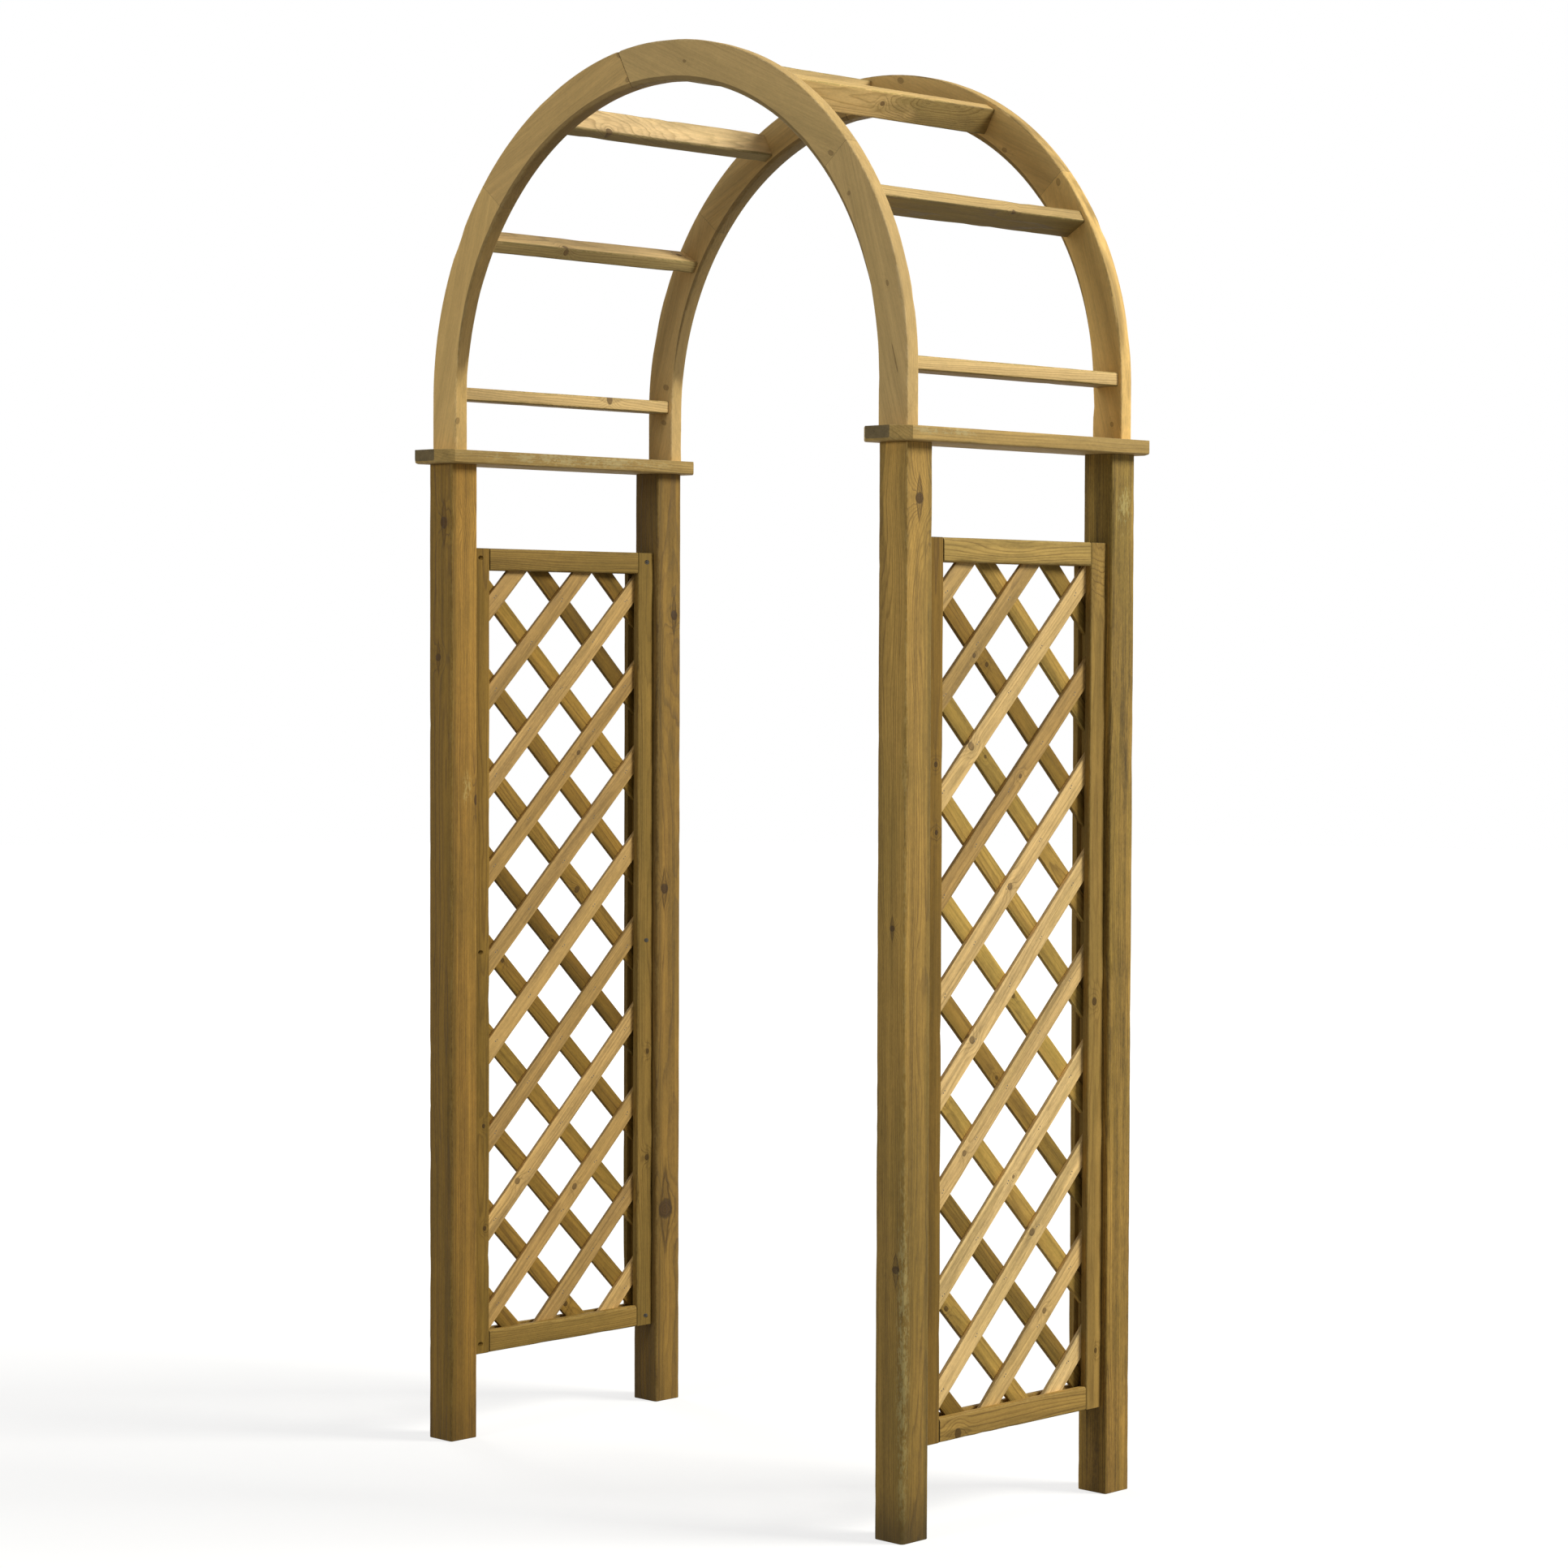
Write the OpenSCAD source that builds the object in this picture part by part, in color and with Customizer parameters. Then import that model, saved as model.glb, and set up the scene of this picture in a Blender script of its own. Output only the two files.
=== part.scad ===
// Round-topped garden arch in planed softwood: four posts, a lattice panel on each side, a board
// capping each pair of posts, and two jointed hoops tied together by seven rungs.
// X runs across the walkway, Y through it from the front (-Y) to the back, and Z is up.
// The origin lies on the ground, midway between the four posts.

/* [Overall] */
// Width over the outer faces of the posts
arch_w = 1320; // [1100:10:1800]
// Depth over the outer faces of the posts
arch_d = 650; // [500:10:1000]

/* [Posts] */
// Side of the square posts
post_s = 70; // [60:1:95]
// Height of the posts
post_h = 2000; // [1900:10:2400]
// Radius of the eased edges along the posts
post_ease = 5; // [1:0.5:8]

/* [Caps] */
// Width of the boards that cap the posts
cap_w = 120; // [105:1:160]
// Thickness of the cap boards
cap_t = 27; // [20:1:40]
// Overhang of the caps past the front and back faces of the posts
cap_over = 42; // [20:1:90]
// Size of the 45 degree cut across each corner of a cap
cap_clip = 30; // [10:1:40]
// Chamfer round the lower edge of a cap
cap_break = 4; // [1:0.5:8]

/* [Hoops] */
// Width of a hoop at its legs, seen from the front
hoop_w = 72; // [60:1:90]
// Extra width of a hoop at its crown
crown_extra = 6; // [0:1:15]
// Thickness of the hoops from front to back
hoop_t = 32; // [26:1:45]
// Straight length of a hoop's leg, below the half circle
hoop_leg = 105; // [40:5:250]
// Distance of a hoop's outer face behind the outer face of the posts
hoop_setback = 5; // [0:1:15]
// Distance of a hoop's outer edge inside the outer face of the posts
hoop_inset = 5; // [0:1:10]
// Chamfer along the edges of the hoops
hoop_break = 4; // [1:0.5:6]
// Angle from the crown to the butt joint on either side
butt_angle = 50; // [40:1:58]
// Half the length of the halved joint at the crown
lap_half = 88; // [60:1:120]
// Slant of the shoulders of the halved joint
lap_slant = 20; // [0:1:30]

/* [Rungs] */
// Number of rungs
rung_count = 7; // [5:1:9]
// Width of a rung, across the hoop
rung_w = 55; // [40:1:60]
// Thickness of a rung
rung_t = 26; // [20:1:34]
// Angle of the lowest rungs above the centre of the half circle
rung_first = 1; // [0:0.5:8]
// Angle by which the top rung sits to the left of the crown
crown_turn = 1.2; // [-2:0.1:2]
// Radius of the eased edges along the rungs
rung_ease = 3; // [1:0.5:5]

/* [Panels] */
// Height of the panels above the ground
panel_z = 168; // [60:1:300]
// Distance from the top of a panel up to the cap
panel_drop = 170; // [60:1:400]
// Side of the square frame members
frame_s = 45; // [38:1:58]
// Radius of the eased edges along the frame members
frame_ease = 4; // [1:0.5:6]
// Depth of the groove that holds the laths
groove_d = 12; // [8:1:16]

/* [Laths] */
// Width of a lath
lath_w = 38; // [25:1:50]
// Thickness of a lath
lath_t = 9; // [6:0.5:10]
// Upright distance from one lath to the next
lath_pitch = 183.4; // [120:0.2:260]
// Rise of the left panel's rising laths from the centred place
left_rising_shift = -9; // [-40:1:40]
// Rise of the left panel's falling laths
left_falling_shift = -2; // [-40:1:40]
// Rise of the right panel's rising laths
right_rising_shift = 2; // [-40:1:40]
// Rise of the right panel's falling laths
right_falling_shift = -14; // [-40:1:40]

/* [Fixings] */
// Diameter of the screws' shanks
screw_d = 5; // [3.5:0.5:6]
// Diameter of the screws' heads
head_d = 9.5; // [8:0.5:12]
// Length of the screws through the caps
cap_screw_l = 70; // [50:5:90]
// Length of the screws through the caps into the hoops
hoop_screw_l = 65; // [50:5:90]
// Distance from one screw of a pair to the other
screw_gap = 36; // [20:1:50]
// Length of the slanting screws that hold the panels
panel_screw_l = 50; // [40:5:60]
// Length of the screws in the halved joint
lap_screw_l = 26; // [20:1:28]
// Diameter of the screws in the halved joint
lap_screw_d = 4; // [3:0.5:5]
// Diameter of the dowels in the butt joints
butt_dowel_d = 10; // [8:1:12]
// Length of the dowels in the butt joints
butt_dowel_l = 60; // [40:5:80]
// Diameter of the dowels in the rungs' ends
rung_dowel_d = 8; // [6:1:12]
// Depth of these dowels in the hoop
rung_dowel_in = 20; // [12:1:24]
// Depth of these dowels in the rung
rung_dowel_out = 30; // [20:1:40]
// Distance from one dowel of a pair to the other
dowel_gap = 26; // [18:1:32]

/* [Hidden] */
$fn = 48;

// Clearance round a screw or a dowel in its hole
hole_clear = 0.1;
// Clearance past the end of a screw or a dowel
end_clear = 0.6;
// Clearance beside the laths and the tongues in the groove
groove_clear = 0.2;
// How far a cutter runs past the face that it cuts
past = 2;
// Length of a screw's point
point_l = 6;
// Radius of a screw's point at its end
point_r = 0.6;

// Centres of the posts and of the panels
post_x = arch_w / 2 - post_s / 2;
post_y = arch_d / 2 - post_s / 2;
cap_z = post_h;
cap_l = arch_d + 2 * cap_over;

// Hoops: radii, the two centres and the middle planes
hoop_z = cap_z + cap_t;
arc_z = hoop_z + hoop_leg;
outer_r = arch_w / 2 - hoop_inset;
inner_r = outer_r - hoop_w;
inner_z = arc_z - crown_extra;
hoop_y = arch_d / 2 - hoop_setback - hoop_t / 2;
mid_r = outer_r - hoop_w / 2;
lap_angle = asin(lap_half / mid_r);
far = 2 * outer_r;

// Rungs: the pitch keeps both lowest rungs at the same height
rung_pitch = (180 - 2 * rung_first) / (rung_count - 1);
rung_l = 2 * hoop_y - hoop_t;

// Panels: their height, the opening inside the frame and the field that the laths fill
panel_h = post_h - panel_z - panel_drop;
frame_half = post_y - post_s / 2;
open_half = frame_half - frame_s;
field_half = open_half + groove_d;
field_low = panel_z + frame_s - groove_d;
field_high = panel_z + panel_h - frame_s + groove_d;
field_mid = (field_low + field_high) / 2;
groove_w = 2 * lath_t + 2 * groove_clear;
tongue_w = groove_w - 2 * groove_clear;
lath_side = (field_high - field_low) / 2 + field_half;
lath_run = floor(lath_side / lath_pitch) + 1;

// Screws that hold the panels: where they start on the stile, and how deep their heads sit
toe_y = open_half + 0.56 * frame_s;
toe_end = 20;
toe_sink = 6;

// Square bar with eased edges, seen on its end
module eased(w, d, r) {
    square([w - 2 * r, d], center = true);
    square([w, d - 2 * r], center = true);
    for (sx = [-1, 1])
        for (sy = [-1, 1])
            translate([sx * (w / 2 - r), sy * (d / 2 - r)])
                circle(r = r);
}

// Countersunk screw, its head's top at the origin and its point down. grow widens and lengthens
// it to make its hole, and open_top carries the hole up past the surface.
module screw(d, head, l, grow = 0, open_top = 0) {
    hr = head / 2 + grow;
    sr = d / 2 + grow;
    deep = (grow > 0) ? l + end_clear : l;
    flat_h = 0.5;
    rotate_extrude()
        polygon([[0, open_top], [hr, open_top], [hr, -flat_h], [sr, -flat_h - hr + sr],
            [sr, point_l - deep], [point_r + grow, -deep], [0, -deep]]);
}

// Plain dowel along Z, centred
module dowel(d, l, grow = 0) {
    cylinder(d = d + 2 * grow, h = (grow > 0) ? l + 2 * end_clear : l, center = true);
}

// Screws down through a cap into one post
module cap_screw_pair(sx, sy, grow = 0) {
    for (k = [-0.5, 0.5])
        translate([sx * post_x + k * screw_gap, sy * (hoop_y - hoop_t / 2 - 18), cap_z + cap_t])
            screw(screw_d, head_d, cap_screw_l, grow, (grow > 0) ? past : 0);
}

// Screws up through a cap into the foot of a hoop, their heads hidden by the post
module hoop_screw_pair(sx, sy, grow = 0) {
    for (k = [-0.5, 0.5])
        translate([sx * mid_r + k * screw_gap, sy * hoop_y, cap_z])
            mirror([0, 0, 1])
                screw(screw_d, head_d, hoop_screw_l, grow, (grow > 0) ? past : 0);
}

// Slanting screws from the walkway side of a stile into its post
module toe_screws(sx, sy, grow = 0) {
    for (z = [panel_z + toe_end, panel_z + panel_h / 2, panel_z + panel_h - toe_end])
        translate([sx * (post_x - frame_s / 2), sy * toe_y, z])
            rotate([0, 0, atan2(sy, sx)])
                rotate([0, -90, 0])
                    translate([0, 0, -toe_sink])
                        screw(screw_d, head_d, panel_screw_l, grow,
                            (grow > 0) ? toe_sink + head_d : 0);
}

// Places a child on the hoops' half circle: radius r, angle a, at y, with its Z along Y
module on_arc(r, a, y) {
    translate([0, y, arc_z])
        rotate([0, -a, 0])
            translate([r, 0, 0])
                rotate([90, 0, 0])
                    children();
}

// Two dowels across the butt joint of a hoop at the angle a
module butt_dowel_pair(a, y, grow = 0) {
    for (k = [-0.5, 0.5])
        on_arc(mid_r + k * hoop_w / 2, a, y)
            rotate([90, 0, 0])
                dowel(butt_dowel_d, butt_dowel_l, grow);
}

// Two dowels between one end of a rung and its hoop
module rung_dowel_pair(a, sy, grow = 0) {
    y_mid = sy * (rung_l / 2 + (rung_dowel_in - rung_dowel_out) / 2);
    for (k = [-0.5, 0.5])
        on_arc(mid_r + k * dowel_gap, a, y_mid)
            dowel(rung_dowel_d, rung_dowel_in + rung_dowel_out, grow);
}

// Two screws through the halved joint, from the back of the hoop
module lap_screw_pair(y, grow = 0) {
    for (k = [-1, 1])
        on_arc(mid_r, 90 + k * lap_angle / 2, y + hoop_t / 2)
            mirror([0, 0, 1])
                screw(lap_screw_d, 2 * lap_screw_d, lap_screw_l, grow, (grow > 0) ? past : 0);
}

function rung_angle(i) = rung_first + i * rung_pitch
    + ((2 * i == rung_count - 1) ? crown_turn : 0);

module post(sx, sy) {
    difference() {
        translate([sx * post_x, sy * post_y, 0])
            linear_extrude(height = post_h)
                eased(post_s, post_s, post_ease);
        cap_screw_pair(sx, sy, hole_clear);
        toe_screws(sx, sy, hole_clear);
    }
}

// Cap board with clipped corners and a chamfer round its lower edge
module cap(sx) {
    difference() {
        translate([sx * post_x, 0, cap_z])
            intersection() {
                linear_extrude(height = cap_t)
                    cap_plan();
                cap_edges(cap_w, cap_l);
                rotate([0, 0, 90])
                    cap_edges(cap_l, cap_w);
            }
        for (sy = [-1, 1]) {
            cap_screw_pair(sx, sy, hole_clear);
            hoop_screw_pair(sx, sy, hole_clear);
        }
    }
}

module cap_plan() {
    x = cap_w / 2;
    y = cap_l / 2;
    c = cap_clip;
    polygon([[-x, c - y], [c - x, -y], [x - c, -y], [x, c - y],
        [x, y - c], [x - c, y], [c - x, y], [-x, y - c]]);
}

// Bar along Y with its two lower edges chamfered
module cap_edges(w, l) {
    b = cap_break;
    rotate([90, 0, 0])
        linear_extrude(height = l, center = true)
            polygon([[b - w / 2, 0], [w / 2 - b, 0], [w / 2, b],
                [w / 2, cap_t], [-w / 2, cap_t], [-w / 2, b]]);
}

// Half disc over a straight block, both with the profile's edge; w_out and w_in are its radius
// in the middle of its thickness and at its faces
module arch_block(w_mid, w_face, half_t, edge, z_centre, z_foot) {
    translate([0, z_centre, 0])
        rotate_extrude(angle = 180, $fn = 180)
            polygon([[0, -half_t], [w_face, -half_t], [w_mid, edge - half_t],
                [w_mid, half_t - edge], [w_face, half_t], [0, half_t]]);
    translate([0, z_centre, 0])
        rotate([90, 0, 0])
            linear_extrude(height = z_centre - z_foot)
                polygon([[-w_face, -half_t], [w_face, -half_t], [w_mid, edge - half_t],
                    [w_mid, half_t - edge], [w_face, half_t], [-w_face, half_t],
                    [-w_mid, half_t - edge], [-w_mid, edge - half_t]]);
}

// A whole hoop, drawn flat: its local y is the height and its local z points to the front
module hoop_flat() {
    t = hoop_t / 2;
    difference() {
        arch_block(outer_r, outer_r - hoop_break, t, hoop_break, arc_z, hoop_z);
        arch_block(inner_r, inner_r + hoop_break + past, t + past, hoop_break + past,
            inner_z, hoop_z - past);
    }
}

// The side of a line across the hoop at the angle a towards larger angles, or smaller ones
module beyond(a, more, slant = 0) {
    translate([0, arc_z])
        rotate(a)
            translate([mid_r, 0])
                rotate(slant)
                    translate([-far, more ? 0 : -2 * far])
                        square([2 * far, 2 * far]);
}

module slab(low, high) {
    translate([0, 0, low])
        linear_extrude(height = high - low)
            children();
}

// Leg of a hoop, up to its butt joint
module hoop_leg_flat(left) {
    intersection() {
        hoop_flat();
        slab(-hoop_t, hoop_t)
            beyond(left ? 90 + butt_angle : 90 - butt_angle, left);
        slab(-hoop_t, hoop_t)
            translate([left ? -far : 0, 0])
                square([far, 4 * far]);
    }
}

// Upper length of a hoop: halved at the crown, the left one in front of its shoulder
module hoop_top_flat(left) {
    intersection() {
        hoop_flat();
        slab(-hoop_t, hoop_t)
            beyond(left ? 90 + butt_angle : 90 - butt_angle, !left);
        union() {
            slab(0, hoop_t)
                beyond(90 + lap_angle, left, lap_slant);
            slab(-hoop_t, 0)
                beyond(90 - lap_angle, left, -lap_slant);
        }
        slab(-hoop_t, hoop_t)
            translate([-far, arc_z])
                square([2 * far, far]);
    }
}

// A hoop's piece in its place with its fixings' holes: sy is -1 at the front and 1 at the back
module hoop_piece(sy, top, left) {
    sx = left ? -1 : 1;
    y = sy * hoop_y;
    difference() {
        translate([0, y, 0])
            rotate([90, 0, 0]) {
                if (top)
                    hoop_top_flat(left);
                else
                    hoop_leg_flat(left);
            }
        butt_dowel_pair(90 - sx * butt_angle, y, hole_clear);
        for (i = [0:rung_count - 1])
            if (touches(rung_angle(i), top, left))
                rung_dowel_pair(rung_angle(i), sy, hole_clear);
        if (top)
            lap_screw_pair(y, hole_clear);
        else
            hoop_screw_pair(sx, sy, hole_clear);
    }
}

// Whether a rung at the angle a meets the piece
function touches(a, top, left) = let (b = left ? 180 - a : a)
    top ? (b > 88 - butt_angle && b < 92 + lap_angle) : b < 92 - butt_angle;

module rung(i) {
    difference() {
        on_arc(mid_r, rung_angle(i), rung_l / 2)
            linear_extrude(height = rung_l)
                eased(rung_w, rung_t, rung_ease);
        for (sy = [-1, 1])
            rung_dowel_pair(rung_angle(i), sy, hole_clear);
    }
}

// Upright of a panel's frame, grooved on its inner edge
module stile(sx, sy) {
    difference() {
        translate([sx * post_x, sy * (frame_half - frame_s / 2), panel_z])
            linear_extrude(height = panel_h)
                difference() {
                    eased(frame_s, frame_s, frame_ease);
                    translate([-groove_w / 2, (sy > 0) ? -frame_s / 2 - past : frame_s / 2 - groove_d])
                        square([groove_w, groove_d + past]);
                }
        toe_screws(sx, sy, hole_clear);
    }
}

// Rail of a panel's frame, with a tongue on each end that fills the stile's groove
module rail(sx, top) {
    translate([sx * post_x, 0, top ? panel_z + panel_h : panel_z])
        mirror([0, 0, top ? 1 : 0]) {
            rotate([90, 0, 0])
                linear_extrude(height = 2 * open_half, center = true)
                    translate([0, frame_s / 2])
                        difference() {
                            eased(frame_s, frame_s, frame_ease);
                            translate([-groove_w / 2, frame_s / 2 - groove_d])
                                square([groove_w, groove_d + past]);
                        }
            for (sy = [-1, 1])
                translate([-tongue_w / 2, (sy > 0) ? open_half : -field_half, 0])
                    cube([tongue_w, groove_d, frame_s - groove_d]);
        }
}

// One layer of laths: rise is 1 for laths that rise to the back and -1 for those that fall
module laths(sx, rise, shift) {
    translate([sx * post_x + ((rise > 0) ? 0 : -lath_t), 0, 0])
        rotate([90, 0, 90])
            for (n = [-lath_run:lath_run])
                if (abs(n * lath_pitch + shift) < lath_side)
                    linear_extrude(height = lath_t)
                        intersection() {
                            translate([0, field_mid + n * lath_pitch + shift])
                                rotate(rise * 45)
                                    square([4 * field_half, lath_w], center = true);
                            translate([-field_half, field_low])
                                square([2 * field_half, field_high - field_low]);
                        }
}

post_tone = "darkgoldenrod";
cap_tone = "burlywood";
hoop_tone = "tan";
rung_tone = "wheat";
frame_tone = "peru";
rising_tone = "burlywood";
falling_tone = "sandybrown";
steel_tone = "silver";
dowel_tone = "bisque";

module post_front_left() color(post_tone) post(-1, -1);
module post_front_right() color(post_tone) post(1, -1);
module post_back_left() color(post_tone) post(-1, 1);
module post_back_right() color(post_tone) post(1, 1);
module cap_left() color(cap_tone) cap(-1);
module cap_right() color(cap_tone) cap(1);
module front_hoop_leg_left() color(hoop_tone) hoop_piece(-1, false, true);
module front_hoop_top_left() color(hoop_tone) hoop_piece(-1, true, true);
module front_hoop_top_right() color(hoop_tone) hoop_piece(-1, true, false);
module front_hoop_leg_right() color(hoop_tone) hoop_piece(-1, false, false);
module back_hoop_leg_left() color(hoop_tone) hoop_piece(1, false, true);
module back_hoop_top_left() color(hoop_tone) hoop_piece(1, true, true);
module back_hoop_top_right() color(hoop_tone) hoop_piece(1, true, false);
module back_hoop_leg_right() color(hoop_tone) hoop_piece(1, false, false);
module rung_right_low() color(rung_tone) rung(0);
module rung_right_mid() color(rung_tone) rung(1);
module rung_right_high() color(rung_tone) rung(2);
module rung_crown() color(rung_tone) rung(3);
module rung_left_high() color(rung_tone) rung(4);
module rung_left_mid() color(rung_tone) rung(5);
module rung_left_low() color(rung_tone) rung(6);
module stile_front_left() color(frame_tone) stile(-1, -1);
module stile_back_left() color(frame_tone) stile(-1, 1);
module stile_front_right() color(frame_tone) stile(1, -1);
module stile_back_right() color(frame_tone) stile(1, 1);
module rail_bottom_left() color(frame_tone) rail(-1, false);
module rail_top_left() color(frame_tone) rail(-1, true);
module rail_bottom_right() color(frame_tone) rail(1, false);
module rail_top_right() color(frame_tone) rail(1, true);
module laths_rising_left() color(rising_tone) laths(-1, 1, left_rising_shift);
module laths_falling_left() color(falling_tone) laths(-1, -1, left_falling_shift);
module laths_rising_right() color(rising_tone) laths(1, 1, right_rising_shift);
module laths_falling_right() color(falling_tone) laths(1, -1, right_falling_shift);

module cap_screws() {
    color(steel_tone)
        for (sx = [-1, 1])
            for (sy = [-1, 1])
                cap_screw_pair(sx, sy);
}

module hoop_screws() {
    color(steel_tone)
        for (sx = [-1, 1])
            for (sy = [-1, 1])
                hoop_screw_pair(sx, sy);
}

module panel_screws() {
    color(steel_tone)
        for (sx = [-1, 1])
            for (sy = [-1, 1])
                toe_screws(sx, sy);
}

module lap_screws() {
    color(steel_tone)
        for (sy = [-1, 1])
            lap_screw_pair(sy * hoop_y);
}

module butt_dowels() {
    color(dowel_tone)
        for (sx = [-1, 1])
            for (sy = [-1, 1])
                butt_dowel_pair(90 - sx * butt_angle, sy * hoop_y);
}

module rung_dowels() {
    color(dowel_tone)
        for (i = [0:rung_count - 1])
            for (sy = [-1, 1])
                rung_dowel_pair(rung_angle(i), sy);
}

post_front_left();
post_front_right();
post_back_left();
post_back_right();
cap_left();
cap_right();
front_hoop_leg_left();
front_hoop_top_left();
front_hoop_top_right();
front_hoop_leg_right();
back_hoop_leg_left();
back_hoop_top_left();
back_hoop_top_right();
back_hoop_leg_right();
rung_right_low();
rung_right_mid();
rung_right_high();
rung_crown();
rung_left_high();
rung_left_mid();
rung_left_low();
stile_front_left();
stile_back_left();
stile_front_right();
stile_back_right();
rail_bottom_left();
rail_top_left();
rail_bottom_right();
rail_top_right();
laths_rising_left();
laths_falling_left();
laths_rising_right();
laths_falling_right();
cap_screws();
hoop_screws();
panel_screws();
lap_screws();
butt_dowels();
rung_dowels();
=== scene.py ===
import bpy, bmesh, math, random
from mathutils import Vector, Matrix, noise


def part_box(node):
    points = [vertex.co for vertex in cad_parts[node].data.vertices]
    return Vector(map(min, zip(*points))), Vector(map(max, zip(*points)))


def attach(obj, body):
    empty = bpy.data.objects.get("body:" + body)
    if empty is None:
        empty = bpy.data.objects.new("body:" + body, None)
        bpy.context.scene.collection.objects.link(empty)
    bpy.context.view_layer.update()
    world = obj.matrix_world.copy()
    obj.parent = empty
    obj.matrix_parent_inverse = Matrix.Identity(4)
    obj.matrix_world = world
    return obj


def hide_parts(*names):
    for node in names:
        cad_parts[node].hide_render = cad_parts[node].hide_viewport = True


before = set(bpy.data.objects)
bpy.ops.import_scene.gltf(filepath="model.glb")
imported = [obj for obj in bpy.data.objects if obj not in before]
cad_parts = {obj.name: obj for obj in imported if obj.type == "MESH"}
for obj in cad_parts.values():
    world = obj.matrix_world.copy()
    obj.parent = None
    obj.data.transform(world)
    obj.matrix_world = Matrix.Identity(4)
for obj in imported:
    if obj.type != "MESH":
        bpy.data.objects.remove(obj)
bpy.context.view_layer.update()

stage = {
    "camPlace": (5.20098, -5.30506, 1.62441), "yaw": 0.77183, "pitch": -0.03595, "roll": 0.00336,
    "focalPixels": 4609.26, "imagePixels": 1932, "sensor": 36.0, "seesTo": 100,
    "skyColour": (1.0, 0.99, 0.97), "skyLight": 0.20,
    "floorRadius": 24.0, "floorSides": 64, "floorMatt": (0.36, 0.36, 0.36), "floorBounce": (0.25, 0.25, 0.25),
    # the lamps fade with distance, and the glow makes up for it, so that the floor stays white
    "glowReach": (1.5, 7.0), "glow": (0.74, 1.0),
    # name, place, what it points at, width, power and colour; the key light comes past the back of the
    # right side, so that it reaches the left side too
    "lamps": (("keyLamp", (10.24, 7.17, 9.6), (0, 0, 1.4), 5.5, 2150.0, (1.0, 0.98, 0.90)),
              ("backLamp", (-12.0, 3.0, 4.6), (0, 0, 1.3), 4.0, 400.0, (1.0, 0.99, 0.97)),
              ("fillLamp", (0.0, -13.0, 3.2), (0, 0, 1.3), 1.7, 425.0, (0.97, 0.99, 1.0))),
}


def feed(tree, value, socket):
    # a number or a colour is set on the socket, and an output is linked to it
    if isinstance(value, (int, float)):
        socket.default_value = value
    elif isinstance(value, tuple):
        socket.default_value = value if len(value) == len(socket.default_value) else (*value, 1)
    else:
        tree.links.new(value, socket)


def addNode(tree, kind, inputs=None, **settings):
    node = tree.nodes.new("ShaderNode" + kind)
    for key, value in settings.items():
        setattr(node, key, value)
    for key, value in (inputs or {}).items():
        feed(tree, value, node.inputs[key])
    return node


def addCamera(s):
    yaw, pitch, roll = s["yaw"], s["pitch"], s["roll"]
    ahead = Vector((-math.sin(yaw) * math.cos(pitch), math.cos(yaw) * math.cos(pitch), math.sin(pitch)))
    level = ahead.cross(Vector((0, 0, 1))).normalized()
    above = level.cross(ahead)
    right = level * math.cos(roll) + above * math.sin(roll)
    top = above * math.cos(roll) - level * math.sin(roll)
    data = bpy.data.cameras.new("camera")
    data.sensor_fit = "HORIZONTAL"
    data.sensor_width = s["sensor"]
    data.lens = s["sensor"] * s["focalPixels"] / s["imagePixels"]
    data.clip_end = s["seesTo"]
    cam = bpy.data.objects.new("camera", data)
    turn = Matrix((right, top, -ahead)).transposed()
    cam.matrix_world = Matrix.Translation(s["camPlace"]) @ turn.to_4x4()
    bpy.context.scene.collection.objects.link(cam)
    bpy.context.scene.camera = cam


def addLamp(name, place, target, width, power, colour):
    data = bpy.data.lights.new(name, "AREA")
    data.shape = "RECTANGLE"
    data.size, data.size_y = width, width
    data.energy = power
    data.color = colour
    lamp = bpy.data.objects.new(name, data)
    lamp.location = place
    lamp.rotation_euler = (Vector(target) - Vector(place)).to_track_quat("-Z", "Y").to_euler()
    bpy.context.scene.collection.objects.link(lamp)


def whiteWhereSeen(tree, lit, seen):
    # the camera and reflections see one shader, and the light on the object comes from the other
    path = addNode(tree, "LightPath")
    share = path.outputs["Is Camera Ray"]
    for ray in ("Is Glossy Ray", "Is Transmission Ray"):
        share = addNode(tree, "Math", {0: share, 1: path.outputs[ray]}, operation="MAXIMUM").outputs[0]
    return addNode(tree, "MixShader", {0: share, 1: lit, 2: seen}).outputs[0]


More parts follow.
